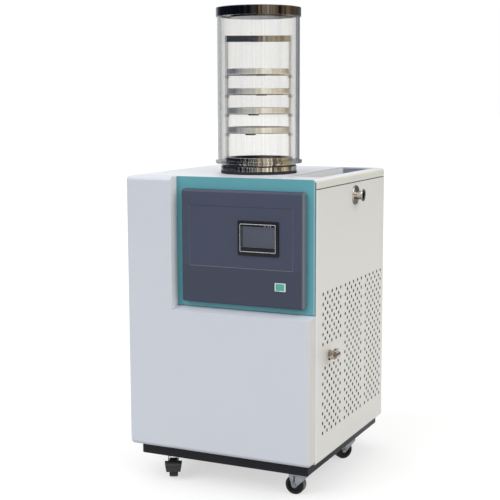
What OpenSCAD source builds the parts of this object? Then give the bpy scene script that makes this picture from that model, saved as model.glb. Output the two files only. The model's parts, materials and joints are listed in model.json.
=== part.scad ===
// Floor-standing laboratory freeze dryer: a castor-mounted cabinet with a cold trap under its top,
// and a clear drying chamber with a four-tray rack standing over the trap's mouth.
// X runs to the right, Y to the rear, Z up. The origin is on the floor, under the middle of the overall box.

/* [Cabinet] */
// Width of the cabinet
cab_w = 640; // [560:5:760]
// Depth of the cabinet, front moulding included
cab_d = 690; // [640:5:780]
// Height of the cabinet above its plinth
cab_h = 884; // [800:4:1000]
// Radius of the cabinet's rounded edges
edge_r = 12; // [8:1:16]
// Thickness of the folded sheet steel
sheet_t = 1.5; // [1:0.1:2.5]
// Depth of the top cover's skirt
cover_h = 28; // [22:1:40]
// Wall of the moulded parts
mould_t = 4; // [3:0.5:5]
// Shadow gap between the top cover and the panels
seam_gap = 2; // [1:0.5:4]

/* [Front] */
// Depth of the front moulding
bezel_d = 45; // [40:1:60]
// Width of the coloured accent panel
accent_w = 474; // [440:2:500]
// Height of the coloured accent panel
accent_h = 414; // [390:2:440]
// Depth of the accent panel's own moulding
accent_t = 7; // [5:1:10]
// Rise of the sloping ledge under the accent panel
ledge_rise = 11; // [4:1:20]
// Width of the control console
console_w = 418; // [380:2:430]
// Height of the control console
console_h = 358; // [330:2:370]
// Depth that the console stands out
console_d = 25; // [20:1:30]
// Distance of the console below the cabinet's top
console_drop = 37; // [25:1:45]
// Radius of the console's edges
console_r = 9; // [5:1:12]
// Distance of the overlay's middle from the right side
overlay_right = 239.5; // [225:0.5:245]
// Distance of the overlay below the cabinet's top
overlay_drop = 87; // [75:1:110]
// Width of the recessed overlay in the console
overlay_w = 353; // [320:1:365]
// Height of the recessed overlay in the console
overlay_h = 190; // [160:1:200]
// Width of the touch screen's housing
screen_w = 137; // [120:1:150]
// Height of the touch screen's housing
screen_h = 107; // [90:1:120]
// Distance of the screen's middle from the right side
screen_right = 177.5; // [140:0.5:260]
// Distance of the screen's middle below the cabinet's top
screen_drop = 182; // [160:1:200]
// Width of the lit area of the screen
glass_w = 108; // [90:1:114]
// Height of the lit area of the screen
glass_h = 61; // [50:1:70]
// Distance of the power switch's middle from the right side
switch_right = 103.5; // [80:0.5:300]
// Distance of the power switch's middle below the cabinet's top
switch_drop = 328; // [310:1:350]
// Width of the power switch's frame
switch_w = 36; // [30:1:44]
// Height of the power switch's frame
switch_h = 26; // [22:1:32]
// Angle of the rocker to each side of its middle
rocker_tilt = 8; // [4:1:10]

/* [Plinth and castors] */
// Height of the plinth
plinth_h = 40; // [30:1:60]
// Inset of the plinth from each side
plinth_inset = 25; // [15:1:40]
// Overall height of a castor
castor_h = 76; // [74:1:90]
// Diameter of a castor wheel
wheel_d = 62; // [50:1:64]
// Width of a castor wheel
wheel_w = 28; // [20:1:30]
// Distance that the wheel trails behind its stem
castor_trail = 24; // [18:1:28]
// Diameter of the castor axle
axle_d = 8; // [6:0.5:10]
// Distance of the right castors' stems from the right side
castor_right = 58; // [55:1:110]
// Distance of the left castors' stems from the left side
castor_left = 115; // [60:1:140]
// Distance of the front castors' stems from the front
castor_front = 88; // [80:1:120]
// Distance of the rear castors' stems from the front
castor_rear = 500; // [450:5:640]
// Width of the brake pedal's hood
hood_w = 56; // [40:1:60]
// Drop of the hood over the wheel's back
hood_drop = 28; // [18:1:30]

/* [Side panels] */
// Diameter of a vent hole
vent_d = 9.5; // [6:0.5:11]
// Distance between columns of vent holes
vent_col = 19.1; // [16:0.1:22]
// Height step between staggered rows of vent holes
vent_row = 15.8; // [14:0.1:18]
// Columns of holes in each of the three groups
vent_cols = 9; // [5:2:9]
// Height steps in the vent pattern
vent_rows = 28; // [20:2:28]
// Extra width of the plain strip between two groups
vent_strip = 23.7; // [10:0.1:26]
// Distance of the lowest vent row above the plinth
vent_low = 84.6; // [60:0.2:110]
// Distance of the rearmost vent column from the rear
vent_rear = 40; // [30:1:60]

/* [Vacuum port and drain] */
// Inside diameter of the vacuum port
port_bore = 25; // [20:0.5:26]
// Diameter of the vacuum port's clamp flange
port_flange_d = 40; // [38:0.5:44]
// Diameter of the port's mounting disc
port_disc_d = 64; // [54:1:70]
// Distance that the port stands out from the panel
port_reach = 29; // [24:1:40]
// Distance of the port behind the cabinet's middle
port_y = 43; // [20:1:80]
// Distance of the port below the cabinet's top
port_drop = 72; // [66:1:90]
// Distance of the drain valve behind the front
drain_from_front = 162; // [150:1:180]
// Distance that the drain valve's centre line stands out
drain_reach = 28; // [24:1:34]
// Diameter of the drain valve's body
drain_d = 20; // [16:1:24]

/* [Top pocket] */
// Width of the open pocket beside the chamber
pocket_w = 118; // [80:2:120]
// Length of the open pocket
pocket_l = 505; // [300:5:520]
// Depth of the open pocket
pocket_h = 45; // [25:1:48]
// Width of the rim between the pocket and the right side
pocket_rim = 30; // [24:1:50]

/* [Cold trap] */
// Distance of the trap's axis right of the cabinet's middle
trap_x = 20; // [0:1:22]
// Distance of the trap's axis behind the front
trap_from_front = 284; // [270:1:330]
// Outside diameter of the trap's vessel
trap_d = 224; // [200:2:226]
// Wall of the trap's vessel
trap_t = 2; // [1.5:0.5:3]
// Depth of the trap's vessel below its flange
trap_h = 250; // [200:5:300]
// Thickness of the insulating jacket
jacket_t = 34; // [28:1:34]
// Height of the gasket between the cover and the trap
base_gasket_h = 9; // [6:1:12]
// Height of the trap's turned flange
trap_flange_h = 15; // [12:1:20]

/* [Drying chamber] */
// Outside diameter of the clear tube
tube_d = 268; // [262:1:272]
// Wall of the clear tube
tube_t = 9; // [6:0.5:10]
// Diameter of the clear foot flange
foot_d = 284; // [278:1:290]
// Thickness of the clear foot flange
foot_h = 10; // [8:1:16]
// Diameter of the step under the foot flange
step_d = 244; // [240:1:248]
// Height of the step under the foot flange
step_h = 6; // [4:1:10]
// Height of the gasket under the clear foot
foot_gasket_h = 3; // [2:0.5:5]
// Length of the clear tube with its foot
tube_h = 477; // [430:1:520]
// Diameter of the lid
lid_d = 276; // [272:1:284]
// Height of the lid
lid_h = 29; // [20:1:34]
// Height of the gasket in the lid
lid_gasket_h = 3; // [2:0.5:4]

/* [Tray rack] */
// Number of trays
tray_count = 4; // [4:1:4]
// Diameter of a tray
tray_d = 198; // [180:1:198]
// Height of a tray
tray_h = 20; // [14:1:24]
// Sheet thickness of a tray
tray_t = 1.2; // [0.8:0.1:2]
// Distance between trays
tray_pitch = 62.5; // [50:0.5:68]
// Height of the lowest tray above the cabinet's top
tray_low = 130; // [110:1:140]
// Diameter of the rack's base ring
rack_base_d = 222; // [216:1:226]
// Height of the rack's base ring
rack_base_h = 28; // [20:1:34]
// Height of the rack's top bar
bar_h = 20; // [14:0.5:22]
// Thickness of the rack's top bar
bar_t = 8; // [8:0.5:12]
// Height of the top bar's underside above the cabinet's top
bar_z = 424; // [400:1:440]
// Diameter of a rack rod
rod_d = 7; // [5:0.5:8]
// Width of the strap under a tray
strap_w = 16; // [10:1:24]
// Width of the finger tab under a tray's edge
tab_w = 34; // [20:1:50]
// Depth of the finger tab
tab_h = 4; // [3:0.5:8]
// Angle to which the rack is turned
rack_turn = 25; // [0:1:60]

/* [Refrigeration] */
// Diameter of the compressor's shell
comp_d = 156; // [130:2:170]
// Height of the compressor's shell
comp_h = 185; // [150:5:210]
// Length of the condenser along the cabinet
cond_l = 300; // [260:5:320]
// Height of the condenser
cond_h = 260; // [240:5:300]
// Thickness of the condenser
cond_t = 66; // [50:2:76]
// Diameter of the condenser fan
fan_d = 200; // [160:2:210]
// Number of fan blades
fan_blades_n = 5; // [3:1:7]

/* [Hidden] */
$fn = 64;
hull_fn = 32;
fit = 0.3;
run = 0.05;

side_reach = drain_reach + drain_d/2;
cab_x = -side_reach/2;
side_x = cab_w/2;
front_y = -cab_d/2;
seam_y = front_y + bezel_d;
rear_y = cab_d/2;
plinth_z = castor_h;
cab_z = plinth_z + plinth_h;
top_z = cab_z + cab_h;
seam_z = top_z - cover_h;
panel_top = seam_z - seam_gap;
floor_t = 2;
deck_z = cab_z + floor_t;
cover_under = top_z - mould_t;

accent_x = side_x - accent_w;
accent_z = top_z - accent_h;
accent_y = seam_y - accent_t;
console_x = side_x - accent_w/2;
console_y = accent_y - console_d;
console_z = top_z - console_drop - console_h/2;
overlay_deep = 0.6;
overlay_z = top_z - overlay_drop - overlay_h/2;
overlay_x = side_x - overlay_right;
screen_x = side_x - screen_right;
screen_z = top_z - screen_drop;
screen_proud = 4;
screen_body = 14;
glass_drop = 4;
glass_t = 1.5;
switch_x = side_x - switch_right;
switch_z = top_z - switch_drop;
switch_proud = 3;
switch_deep = 15;
rocker_w = switch_w - 10.4;
rocker_h = switch_h - 6.6;
rocker_y = console_y + 4;

trap_y = front_y + trap_from_front;
gasket_r = 124.5;
trap_flange_z = top_z + base_gasket_h;
trap_mouth_z = trap_flange_z + trap_flange_h;
foot_z = trap_mouth_z + foot_gasket_h;
step_w = 8;
foot_bore = step_d/2 - step_w;
lid_z = foot_z + tube_h;
jacket_r = trap_d/2 + jacket_t;
jacket_bottom = 22;
trap_floor_z = trap_mouth_z - trap_h;
stub_r = 14;
stub_bore = port_bore/2;
port_z = top_z - port_drop;

rod_ring = tray_d/2 + 0.5 + rod_d/2;
rod_angles = [0, 180];
spigot_d = rod_d - 3;
spigot_l = 12;
collar_d = 13;
collar_h = 10;
strap_t = 2;
// How far each tray is turned in the rack, from the top tray down
tray_turns = [-130, -130, -145, -151];
tab_at = 45;
rack_seat = trap_mouth_z + rack_base_h;

vent_x0 = rear_y - vent_rear;
valve_band = [14, 17];
drain_y = front_y + drain_from_front;
drain_z = cab_z + vent_low + 15.5*vent_row;
drain_x = side_x + drain_reach;
drain_pipe_r = 5;
valve_l = 34;

post_leg = 30;
post_t = 3;
post_x = side_x - edge_r - fit;
post_front = seam_y + fit + mould_t + fit;
post_rear = rear_y - edge_r - fit;
return_w = 20;
box_w = 300;
box_d = 66;
box_h = 190;
inlet_from_left = 130;
inlet_x = inlet_from_left - side_x;
inlet_z = cab_z + 90;
inlet_w = 50;
inlet_h = 34;

comp_from_left = 160;
comp_from_rear = 155;
comp_x = comp_from_left - side_x;
comp_y = rear_y - comp_from_rear;
comp_foot_h = 14;
comp_base_w = 200;
comp_base_d = 150;
comp_foot_x = 84;
comp_foot_y = 58;
grommet_r = 6;
terminal_w = 56;
terminal_h = 62;
terminal_z = 70;
stub_off = 40;
suction_up = 120;
discharge_up = 80;
line_r = 4;
suction_r = 6;
drier_x = 40;
drier_from_rear = 39;
drier_y = rear_y - drier_from_rear;
drier_z = deck_z + 68;
drier_l = 120;
cond_from_right = 24;
cond_x = side_x - cond_from_right - cond_t;
cond_from_rear = 215;
cond_leg = 50;
cond_y = rear_y - cond_from_rear;
cond_z = deck_z + cond_leg + cond_h/2;
shroud_t = 2;
shroud_d = 24;
fan_hub_r = 22;
motor_r = 34;
motor_l = 46;
shaft_r = 4;

wheel_r = wheel_d/2;
axle_r = axle_d/2;
axle_z = wheel_r;
castor_plate_t = 2.5;
race_h = 4.5;
crown_t = 2.5;
crown_z = castor_h - castor_plate_t - race_h - fit - crown_t;
cheek_t = 2;
cheek_y = wheel_w/2 + 1.5;
king_r = 4;
brake_pin_r = 2;
brake_x = -castor_trail - 25;
brake_z = axle_z + 28;
hood_reach = 26;
hood_t = 3;

// Stem position, heading and name of each castor
castor_r_x = side_x - castor_right;
castor_l_x = castor_left - side_x;
castor_f_y = front_y + castor_front;
castor_b_y = front_y + castor_rear;
fl = [castor_l_x, castor_f_y, 118];
fr = [castor_r_x, castor_f_y, 2];
rl = [castor_l_x, castor_b_y, 80];
rr = [castor_r_x, castor_b_y, 50];

// ---- shared shapes ----

// Everything in the cabinet is placed from the cabinet's own middle
module cab() {
    translate([cab_x, 0, 0]) children();
}

// Rectangle with round corners, centred
module round_rect(w, h, r) {
    square([w - 2*r, h], center = true);
    square([w, h - 2*r], center = true);
    for (x = [-1, 1], y = [-1, 1])
        translate([x*(w/2 - r), y*(h/2 - r)]) circle(r);
}

// Plate standing in the XZ plane, from y = 0 to y = d, with its front edges rounded
module soft_plate(w, h, d, r) {
    hull() {
        for (x = [-1, 1], z = [-1, 1])
            translate([x*(w/2 - r), 0, z*(h/2 - r)]) rotate([-90, 0, 0]) puck(r, d);
    }
}

// Round peg with a half-ball end
module puck(r, d) {
    rotate_extrude($fn = hull_fn) intersection() {
        square([r, d]);
        union() {
            translate([0, r]) circle(r, $fn = hull_fn);
            translate([0, r]) square([r, d - r]);
        }
    }
}

// Pipe through a list of points, with ball corners
module pipe(points, r) {
    for (i = [0:len(points) - 2]) {
        from = points[i];
        step = points[i + 1] - from;
        length = norm(step);
        translate(from)
            rotate([0, acos(step[2]/length), atan2(step[1], step[0])])
                cylinder(r = r, h = length);
        if (i > 0)
            translate(from) sphere(r);
    }
}

// ---- plinth and cabinet ----

// Base pan: bevelled at the bottom and open at the top, where the cabinet's floor closes it
module plinth() {
    w = cab_w - 2*plinth_inset;
    d = rear_y - seam_y;
    foot = 8;
    wall = 3;
    color("#2a2a32") cab() translate([0, (seam_y + rear_y)/2, plinth_z]) difference() {
        union() {
            translate([0, 0, foot]) linear_extrude(plinth_h - foot) round_rect(w, d, edge_r);
            hull() {
                linear_extrude(1)
                    round_rect(w - 2*foot, d - 2*foot, edge_r - foot/2, $fn = hull_fn);
                translate([0, 0, foot]) linear_extrude(1) round_rect(w, d, edge_r, $fn = hull_fn);
            }
        }
        translate([0, 0, foot + wall]) linear_extrude(plinth_h)
            round_rect(w - 2*wall, d - 2*wall, edge_r - wall);
    }
}

module cabinet_floor() {
    w = cab_w - 2*sheet_t - 2*fit;
    y0 = seam_y + 2*fit + sheet_t;
    y1 = rear_y - 2*sheet_t - fit;
    color("#b8bcc2") cab() translate([0, (y0 + y1)/2, cab_z])
        linear_extrude(floor_t) round_rect(w, y1 - y0, edge_r - sheet_t - fit);
}

// Room taken out of the front moulding for the accent panel, with a sloping lower ledge
module accent_room(grow) {
    z_back = accent_z - grow;
    z_front = z_back - ledge_rise;
    translate([accent_x - grow, 0, 0]) rotate([90, 0, 90])
        linear_extrude(accent_w + 2*grow) polygon([
            [front_y - 1, z_front],
            [accent_y - 2, z_back],
            [seam_y + 1, z_back],
            [seam_y + 1, top_z + 1],
            [front_y - 1, top_z + 1]]);
}

module front_bezel() {
    mid_z = (cab_z + top_z)/2;
    color("#d6d8df") cab() difference() {
        translate([0, front_y, mid_z]) soft_plate(cab_w, cab_h, bezel_d, edge_r + 2);
        accent_room(0);
        difference() {
            translate([0, front_y + mould_t, mid_z])
                soft_plate(cab_w - 2*mould_t, cab_h - 2*mould_t, bezel_d, edge_r - 2);
            accent_room(mould_t);
        }
    }
}

module accent_panel() {
    color("#5aa0a8") cab() difference() {
        translate([side_x - accent_w/2, accent_y, top_z - accent_h/2]) rotate([90, 0, 0])
            mirror([0, 0, 1]) linear_extrude(accent_t) accent_outline();
        translate([accent_x + 15, accent_y + mould_t, accent_z + 15])
            cube([accent_w - 30, accent_t, accent_h - 30]);
    }
}

// Outline of the accent panel: square but for the corner that it shares with the cabinet
module accent_outline() {
    w = accent_w - fit;
    h = accent_h - fit;
    difference() {
        translate([fit/2, fit/2]) square([w, h], center = true);
        translate([accent_w/2 - edge_r, accent_h/2 - edge_r]) difference() {
            square(edge_r + 1);
            circle(edge_r);
        }
    }
}

module console_panel() {
    color("#4b5062") cab() difference() {
        translate([console_x, console_y, console_z])
            soft_plate(console_w, console_h, console_d, console_r);
        translate([console_x, console_y + mould_t - 1, console_z])
            soft_plate(console_w - 2*mould_t, console_h - 2*mould_t, console_d, console_r - 3);
        translate([overlay_x, console_y + overlay_deep, overlay_z]) rotate([90, 0, 0])
            linear_extrude(overlay_deep + 1) round_rect(overlay_w, overlay_h, 2);
        translate([screen_x, console_y + mould_t, screen_z]) rotate([90, 0, 0])
            linear_extrude(mould_t + 1) square([glass_w + 12, glass_h + 24], center = true);
        translate([switch_x, console_y + mould_t, switch_z]) rotate([90, 0, 0])
            linear_extrude(mould_t + 1) square([switch_w - 5, switch_h - 3], center = true);
    }
}

module screen_housing() {
    face_y = console_y + overlay_deep - screen_proud;
    color("#15161a") cab() translate([screen_x, 0, screen_z]) difference() {
        union() {
            translate([0, face_y + screen_proud, 0]) rotate([90, 0, 0])
                linear_extrude(screen_proud) round_rect(screen_w, screen_h, 4);
            translate([0, face_y + screen_proud + screen_body, 0]) rotate([90, 0, 0])
                linear_extrude(screen_body)
                    square([glass_w + 12 - 2*fit, glass_h + 24 - 2*fit], center = true);
        }
        translate([0, face_y + glass_drop, glass_drop]) rotate([90, 0, 0])
            linear_extrude(screen_proud + 1) square([glass_w, glass_h], center = true);
    }
}

module screen_glass() {
    face_y = console_y + overlay_deep - screen_proud;
    color("#7d8a99") cab() translate([screen_x, face_y + glass_drop, screen_z + glass_drop])
        rotate([90, 0, 0]) linear_extrude(glass_t)
            square([glass_w - 2*fit, glass_h - 2*fit], center = true);
}

module switch_frame() {
    color("#dfe6e6") cab() translate([switch_x, console_y, switch_z]) difference() {
        union() {
            rotate([90, 0, 0]) linear_extrude(switch_proud) round_rect(switch_w, switch_h, 2);
            translate([0, switch_deep, 0]) rotate([90, 0, 0]) linear_extrude(switch_deep)
                square([switch_w - 5 - 2*fit, switch_h - 3 - 2*fit], center = true);
        }
        translate([0, switch_deep - 2, 0]) rotate([90, 0, 0])
            linear_extrude(switch_deep + switch_proud)
                square([switch_w - 9, switch_h - 6], center = true);
        translate([0, rocker_y - console_y, -switch_h/2 + 2])
            cylinder(r = 1.5 + run, h = switch_h - 4);
    }
}

// Rocker with a shallow V face, tipped to one side on its cross pin
module switch_rocker() {
    half = rocker_w/2 - 0.6;
    face = -9;
    color("#50bea0") cab() translate([switch_x, rocker_y, switch_z]) {
        rotate([0, 0, rocker_tilt]) translate([0, 0, -rocker_h/2]) linear_extrude(rocker_h)
            polygon([[-half, face], [0, face + 1.7], [half, face], [half, -2], [4, 3], [-4, 3],
                [-half, -2]]);
        translate([0, 0, -switch_h/2 + 2 + fit]) cylinder(r = 1.5, h = switch_h - 4 - 2*fit);
    }
}

// Block with its top, side and rear edges rounded and a flat front
module soft_cover(w, y0, y1, z0, z1, r) {
    hull() {
        for (x = [-1, 1]) {
            translate([x*(w/2 - r), y0, z1 - r]) rotate([-90, 0, 0])
                cylinder(r = r, h = 1, $fn = hull_fn);
            translate([x*(w/2 - r), y1 - r, z1]) mirror([0, 0, 1]) puck(r, z1 - z0);
        }
        translate([-w/2, y0, z0]) cube([w, 1, 1]);
    }
}

module pocket_block(grow, z0, z1) {
    w = pocket_w + 2*grow;
    l = pocket_l + 2*grow;
    x = side_x - pocket_rim - pocket_w/2;
    y = rear_y - 35 - pocket_l/2;
    translate([x, y, z0]) linear_extrude(z1 - z0) round_rect(w, l, 10 + grow);
}

module top_cover() {
    y0 = seam_y + fit;
    color("#d9dbe1") cab() difference() {
        union() {
            difference() {
                soft_cover(cab_w, y0, rear_y, seam_z, top_z, edge_r);
                soft_cover(cab_w - 2*mould_t, y0 + mould_t, rear_y - mould_t, seam_z - 2,
                    cover_under, edge_r - mould_t);
            }
            pocket_block(mould_t - 1, top_z - pocket_h - mould_t + 1, cover_under + 1);
        }
        pocket_block(0, top_z - pocket_h, top_z + 1);
        translate([trap_x, trap_y, cover_under - 1]) cylinder(r = trap_d/2 + 1, h = mould_t + 2);
    }
}

// Every vent hole of one side, drawn with the cabinet's depth along X and height along Y
module vent_holes(keep_valve_band) {
    for (group = [0:2], col = [0:vent_cols - 1]) {
        along = vent_x0 - ((2 - group)*vent_cols + (vent_cols - 1 - col))*vent_col
            - (2 - group)*vent_strip;
        for (row = [0:vent_rows])
            if ((row + col) % 2 == 0)
                if (!(keep_valve_band && group == 0 && row >= valve_band[0] && row <= valve_band[1]))
                    translate([along, cab_z + vent_low + row*vent_row]) circle(d = vent_d, $fn = 24);
    }
}

// Folded side panel: a perforated face, a rounded rear fold, and inward returns on all four edges
module side_panel(keep_valve_band) {
    y0 = seam_y + fit;
    face_x = side_x - sheet_t;
    bend_y = rear_y - edge_r;
    height = panel_top - cab_z;
    inner_r = edge_r - sheet_t;
    difference() {
        translate([face_x, 0, 0]) rotate([90, 0, 90]) linear_extrude(sheet_t) difference() {
            translate([y0, cab_z]) square([bend_y - y0, height]);
            vent_holes(keep_valve_band);
        }
        if (keep_valve_band) {
            translate([face_x - 1, port_y, port_z]) rotate([0, 90, 0])
                cylinder(r = stub_r + fit, h = sheet_t + 2);
            translate([face_x - 1, drain_y, drain_z]) rotate([0, 90, 0])
                cylinder(r = drain_pipe_r + 2 + fit, h = sheet_t + 2);
        }
    }
    translate([0, 0, cab_z]) {
        translate([side_x - return_w, y0, 0]) cube([return_w - sheet_t, sheet_t, height]);
        translate([side_x - return_w, rear_y - sheet_t, 0])
            cube([return_w - edge_r, sheet_t, height]);
        translate([side_x - edge_r, bend_y, 0]) rotate_extrude(angle = 90)
            translate([inner_r, 0]) square([sheet_t, height]);
    }
    translate([side_x - return_w, post_front + post_leg + fit, panel_top - sheet_t])
        cube([return_w - sheet_t, post_rear - post_front - 2*post_leg - 2*fit, sheet_t]);
}

module right_side_panel() {
    color("#d6d2cc") cab() side_panel(true);
}

module left_side_panel() {
    color("#d6d2cc") cab() mirror([1, 0, 0]) side_panel(false);
}

module rear_panel() {
    w = cab_w - 2*sheet_t - 2*fit - 2*(edge_r - sheet_t);
    color("#d2cfca") cab() translate([0, rear_y - sheet_t, 0]) rotate([90, 0, 0])
        linear_extrude(sheet_t) difference() {
            translate([-w/2, cab_z]) square([w, panel_top - cab_z]);
            translate([inlet_x, inlet_z]) square([inlet_w - 6, inlet_h - 6], center = true);
        }
}

module corner_post(sx, y0, dir) {
    cab() translate([sx*post_x, y0, deck_z]) mirror([sx < 0 ? 0 : 1, 0, 0])
        mirror([0, dir < 0 ? 1 : 0, 0]) {
            cube([post_t, post_leg, cover_under - deck_z]);
            cube([post_leg, post_t, cover_under - deck_z]);
        }
}

module post_front_left() {
    color("#9aa0a8") corner_post(-1, post_front, 1);
}

module post_front_right() {
    color("#9aa0a8") corner_post(1, post_front, 1);
}

module post_rear_left() {
    color("#9aa0a8") corner_post(-1, post_rear, -1);
}

module post_rear_right() {
    color("#9aa0a8") corner_post(1, post_rear, -1);
}

// ---- cold trap and drying chamber ----

module at_trap() {
    cab() translate([trap_x, trap_y, 0]) children();
}

module base_gasket() {
    color("#101012") at_trap() translate([0, 0, top_z]) rotate_extrude()
        translate([trap_d/2 + fit, 0]) square([gasket_r - trap_d/2 - fit, base_gasket_h]);
}

// Drawn vessel with a turned ring round its mouth, closed at the bottom, with a side stub
module cold_trap() {
    r = trap_d/2;
    stub_end = jacket_r + 6;
    color("#c4c7cc") at_trap() difference() {
        union() {
            rotate_extrude() polygon([
                [0, trap_floor_z], [r, trap_floor_z], [r, trap_flange_z],
                [gasket_r - 1, trap_flange_z], [gasket_r, trap_flange_z + 1],
                [gasket_r, trap_mouth_z - 1], [gasket_r - 1, trap_mouth_z], [0, trap_mouth_z]]);
            translate([r - 8, 0, port_z]) rotate([0, 90, 0])
                cylinder(r = stub_r, h = stub_end - r + 8);
        }
        translate([0, 0, trap_floor_z + trap_t]) cylinder(r = r - trap_t, h = trap_h + 1);
        translate([r - 12, 0, port_z]) rotate([0, 90, 0])
            cylinder(r = stub_bore, h = stub_end - r + 14);
    }
}

module trap_jacket() {
    z0 = trap_floor_z - jacket_bottom;
    r = jacket_r;
    color("#2f3136") at_trap() difference() {
        translate([0, 0, z0]) cylinder(r = r, h = cover_under - z0 - fit);
        translate([0, 0, trap_floor_z]) cylinder(r = trap_d/2 + fit, h = cab_h);
        translate([0, 0, port_z]) rotate([0, 90, 0]) cylinder(r = stub_r + fit, h = r + 1);
    }
}

module foot_gasket() {
    color("#101012") at_trap() translate([0, 0, trap_mouth_z]) rotate_extrude()
        translate([foot_bore, 0]) square([step_w - 2.5, foot_gasket_h]);
}

// Clear tube bonded to a foot ring, which has a step turned under its flange
module chamber_tube() {
    r = tube_d/2;
    edge = foot_d/2;
    top = step_h + foot_h;
    color("#dfe8ea", 0.35) at_trap() translate([0, 0, foot_z]) rotate_extrude() polygon([
        [foot_bore, 0], [step_d/2, 0], [step_d/2, step_h], [edge - 1, step_h], [edge, step_h + 1],
        [edge, top - 1], [edge - 1, top], [r, top], [r, tube_h], [r - tube_t, tube_h],
        [r - tube_t, top], [foot_bore, top]]);
}

module lid_gasket() {
    r = tube_d/2;
    color("#e8e8e4") at_trap() translate([0, 0, lid_z]) rotate_extrude()
        translate([r - tube_t, 0]) square([tube_t, lid_gasket_h]);
}

// Turned lid: a rim that drops over the gasket, a polished edge and a boss inside the tube
module chamber_lid() {
    r = lid_d/2;
    seat = lid_gasket_h;
    color("#c9ccd0") at_trap() translate([0, 0, lid_z]) rotate_extrude() polygon([
        [0, -3], [92, -3], [92, seat], [tube_d/2 + fit, seat], [tube_d/2 + fit, 0], [r, 0],
        [r, lid_h - 1.5], [r - 1.5, lid_h], [0, lid_h]]);
}

// ---- tray rack ----

module at_rack() {
    at_trap() rotate([0, 0, rack_turn]) children();
}

module rack_base() {
    r = rack_base_d/2;
    color("#b9bcc0") at_rack() translate([0, 0, trap_mouth_z]) difference() {
        rotate_extrude() polygon([
            [r - 24, 0], [r, 0], [r, rack_base_h], [r - 18, rack_base_h], [r - 18, rack_base_h - 4],
            [r - 3, rack_base_h - 4], [r - 3, 3], [r - 24, 3]]);
        for (a = rod_angles)
            rotate([0, 0, a]) translate([rod_ring, 0, rack_base_h - 5])
                cylinder(r = rod_d/2 + run, h = 6);
    }
}

// Two rods with turned-down ends and a collar under every tray, and a strap between each pair of
// collars
module rack_rods() {
    bar_seat = top_z + bar_z;
    color("#c8ccd0") at_rack() {
        for (a = rod_angles) rotate([0, 0, a]) translate([rod_ring, 0, 0]) {
            translate([0, 0, rack_seat - 4]) cylinder(d = rod_d, h = bar_seat - rack_seat + 4);
            translate([0, 0, bar_seat - 1]) cylinder(d = spigot_d, h = spigot_l + 1);
            for (i = [0:tray_count - 1])
                translate([0, 0, top_z + tray_low + i*tray_pitch - collar_h])
                    cylinder(d = collar_d, h = collar_h);
            translate([0, 0, rack_seat]) cylinder(d = rod_d + 3, h = 3);
        }
        for (i = [0:tray_count - 1])
            translate([0, 0, top_z + tray_low + i*tray_pitch - strap_t]) difference() {
                translate([-rod_ring, -strap_w/2, 0]) cube([2*rod_ring, strap_w, strap_t]);
                for (a = rod_angles)
                    rotate([0, 0, a]) translate([rod_ring, 0, -1])
                        cylinder(d = collar_d + 2*fit, h = strap_t + 2);
            }
    }
}

// Bar across the rods' heads, by which the rack is lifted out
module rack_top() {
    color("#c8ccd0") at_rack() translate([0, 0, top_z + bar_z]) difference() {
        union() {
            translate([-rod_ring, -bar_t/2, 0]) cube([2*rod_ring, bar_t, bar_h]);
            for (a = rod_angles) rotate([0, 0, a]) translate([rod_ring, 0, 0])
                cylinder(d = bar_t, h = bar_h);
        }
        for (a = rod_angles) rotate([0, 0, a]) translate([rod_ring, 0, -1])
            cylinder(r = spigot_d/2 + run, h = spigot_l + 1);
    }
}

// Drawn tray with a rounded bottom edge and a finger tab below its wall; number 1 is the top one
module tray(number) {
    r = tray_d/2;
    bottom_r = 4;
    tab_angle = tab_w/r*180/PI;
    z = top_z + tray_low + (tray_count - number)*tray_pitch;
    color("#c2c6ca")
        at_rack() translate([0, 0, z]) rotate([0, 0, tray_turns[number - 1]]) {
            rotate_extrude() difference() {
                union() {
                    square([r - bottom_r, tray_h]);
                    translate([0, bottom_r]) square([r, tray_h - bottom_r]);
                    translate([r - bottom_r, bottom_r]) circle(bottom_r);
                }
                translate([-1, tray_t]) square([r - bottom_r + 1, tray_h]);
                translate([-1, bottom_r]) square([r - tray_t + 1, tray_h]);
                translate([r - bottom_r, bottom_r]) circle(bottom_r - tray_t);
                translate([-r - 1, -1]) square([r + 1, tray_h + 2]);
            }
            rotate([0, 0, tab_at - tab_angle/2]) rotate_extrude(angle = tab_angle)
                translate([r - bottom_r, -tab_h]) square([tray_t, tab_h + tray_t/2]);
        }
}

module tray_1() {
    tray(1);
}

module tray_2() {
    tray(2);
}

module tray_3() {
    tray(3);
}

module tray_4() {
    tray(4);
}

// ---- vacuum port and drain valve ----

// Clamp-flange port: mounting disc, neck and flange in one turned piece, tube end inside
module vacuum_port() {
    flange_r = port_flange_d/2;
    inside = 20;
    color("#c9cbce") cab() translate([side_x, port_y, port_z]) rotate([0, 90, 0]) difference() {
        rotate_extrude() polygon([
            [0, -inside], [stub_r, -inside], [stub_r, 0], [port_disc_d/2, 0],
            [port_disc_d/2, 2.5], [port_disc_d/2 - 1.5, 4], [stub_r, 4], [stub_r, port_reach - 5.5],
            [flange_r, port_reach - 3], [flange_r, port_reach], [0, port_reach]]);
        translate([0, 0, -inside - 1]) cylinder(d = port_bore, h = inside + port_reach + 2);
    }
}

module vacuum_line() {
    turn = 30;
    y_in = trap_y;
    x_mid = trap_x + jacket_r + 6 + turn + 12;
    x_out = side_x - 20;
    color("#c2c5c9") cab() translate([0, 0, port_z]) {
        translate([x_mid + turn, port_y, 0]) rotate([0, 90, 0])
            tube_run(x_out - x_mid - turn);
        translate([x_mid + turn, port_y - turn, 0]) rotate([0, 0, 90]) hollow_bend(turn);
        translate([x_mid, y_in + turn, 0]) rotate([-90, 0, 0])
            tube_run(port_y - y_in - 2*turn);
        translate([x_mid - turn, y_in + turn, 0]) rotate([0, 0, -90]) hollow_bend(turn);
        translate([x_mid - turn - 12, y_in, 0]) rotate([0, 90, 0]) tube_run(12);
    }
}

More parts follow.
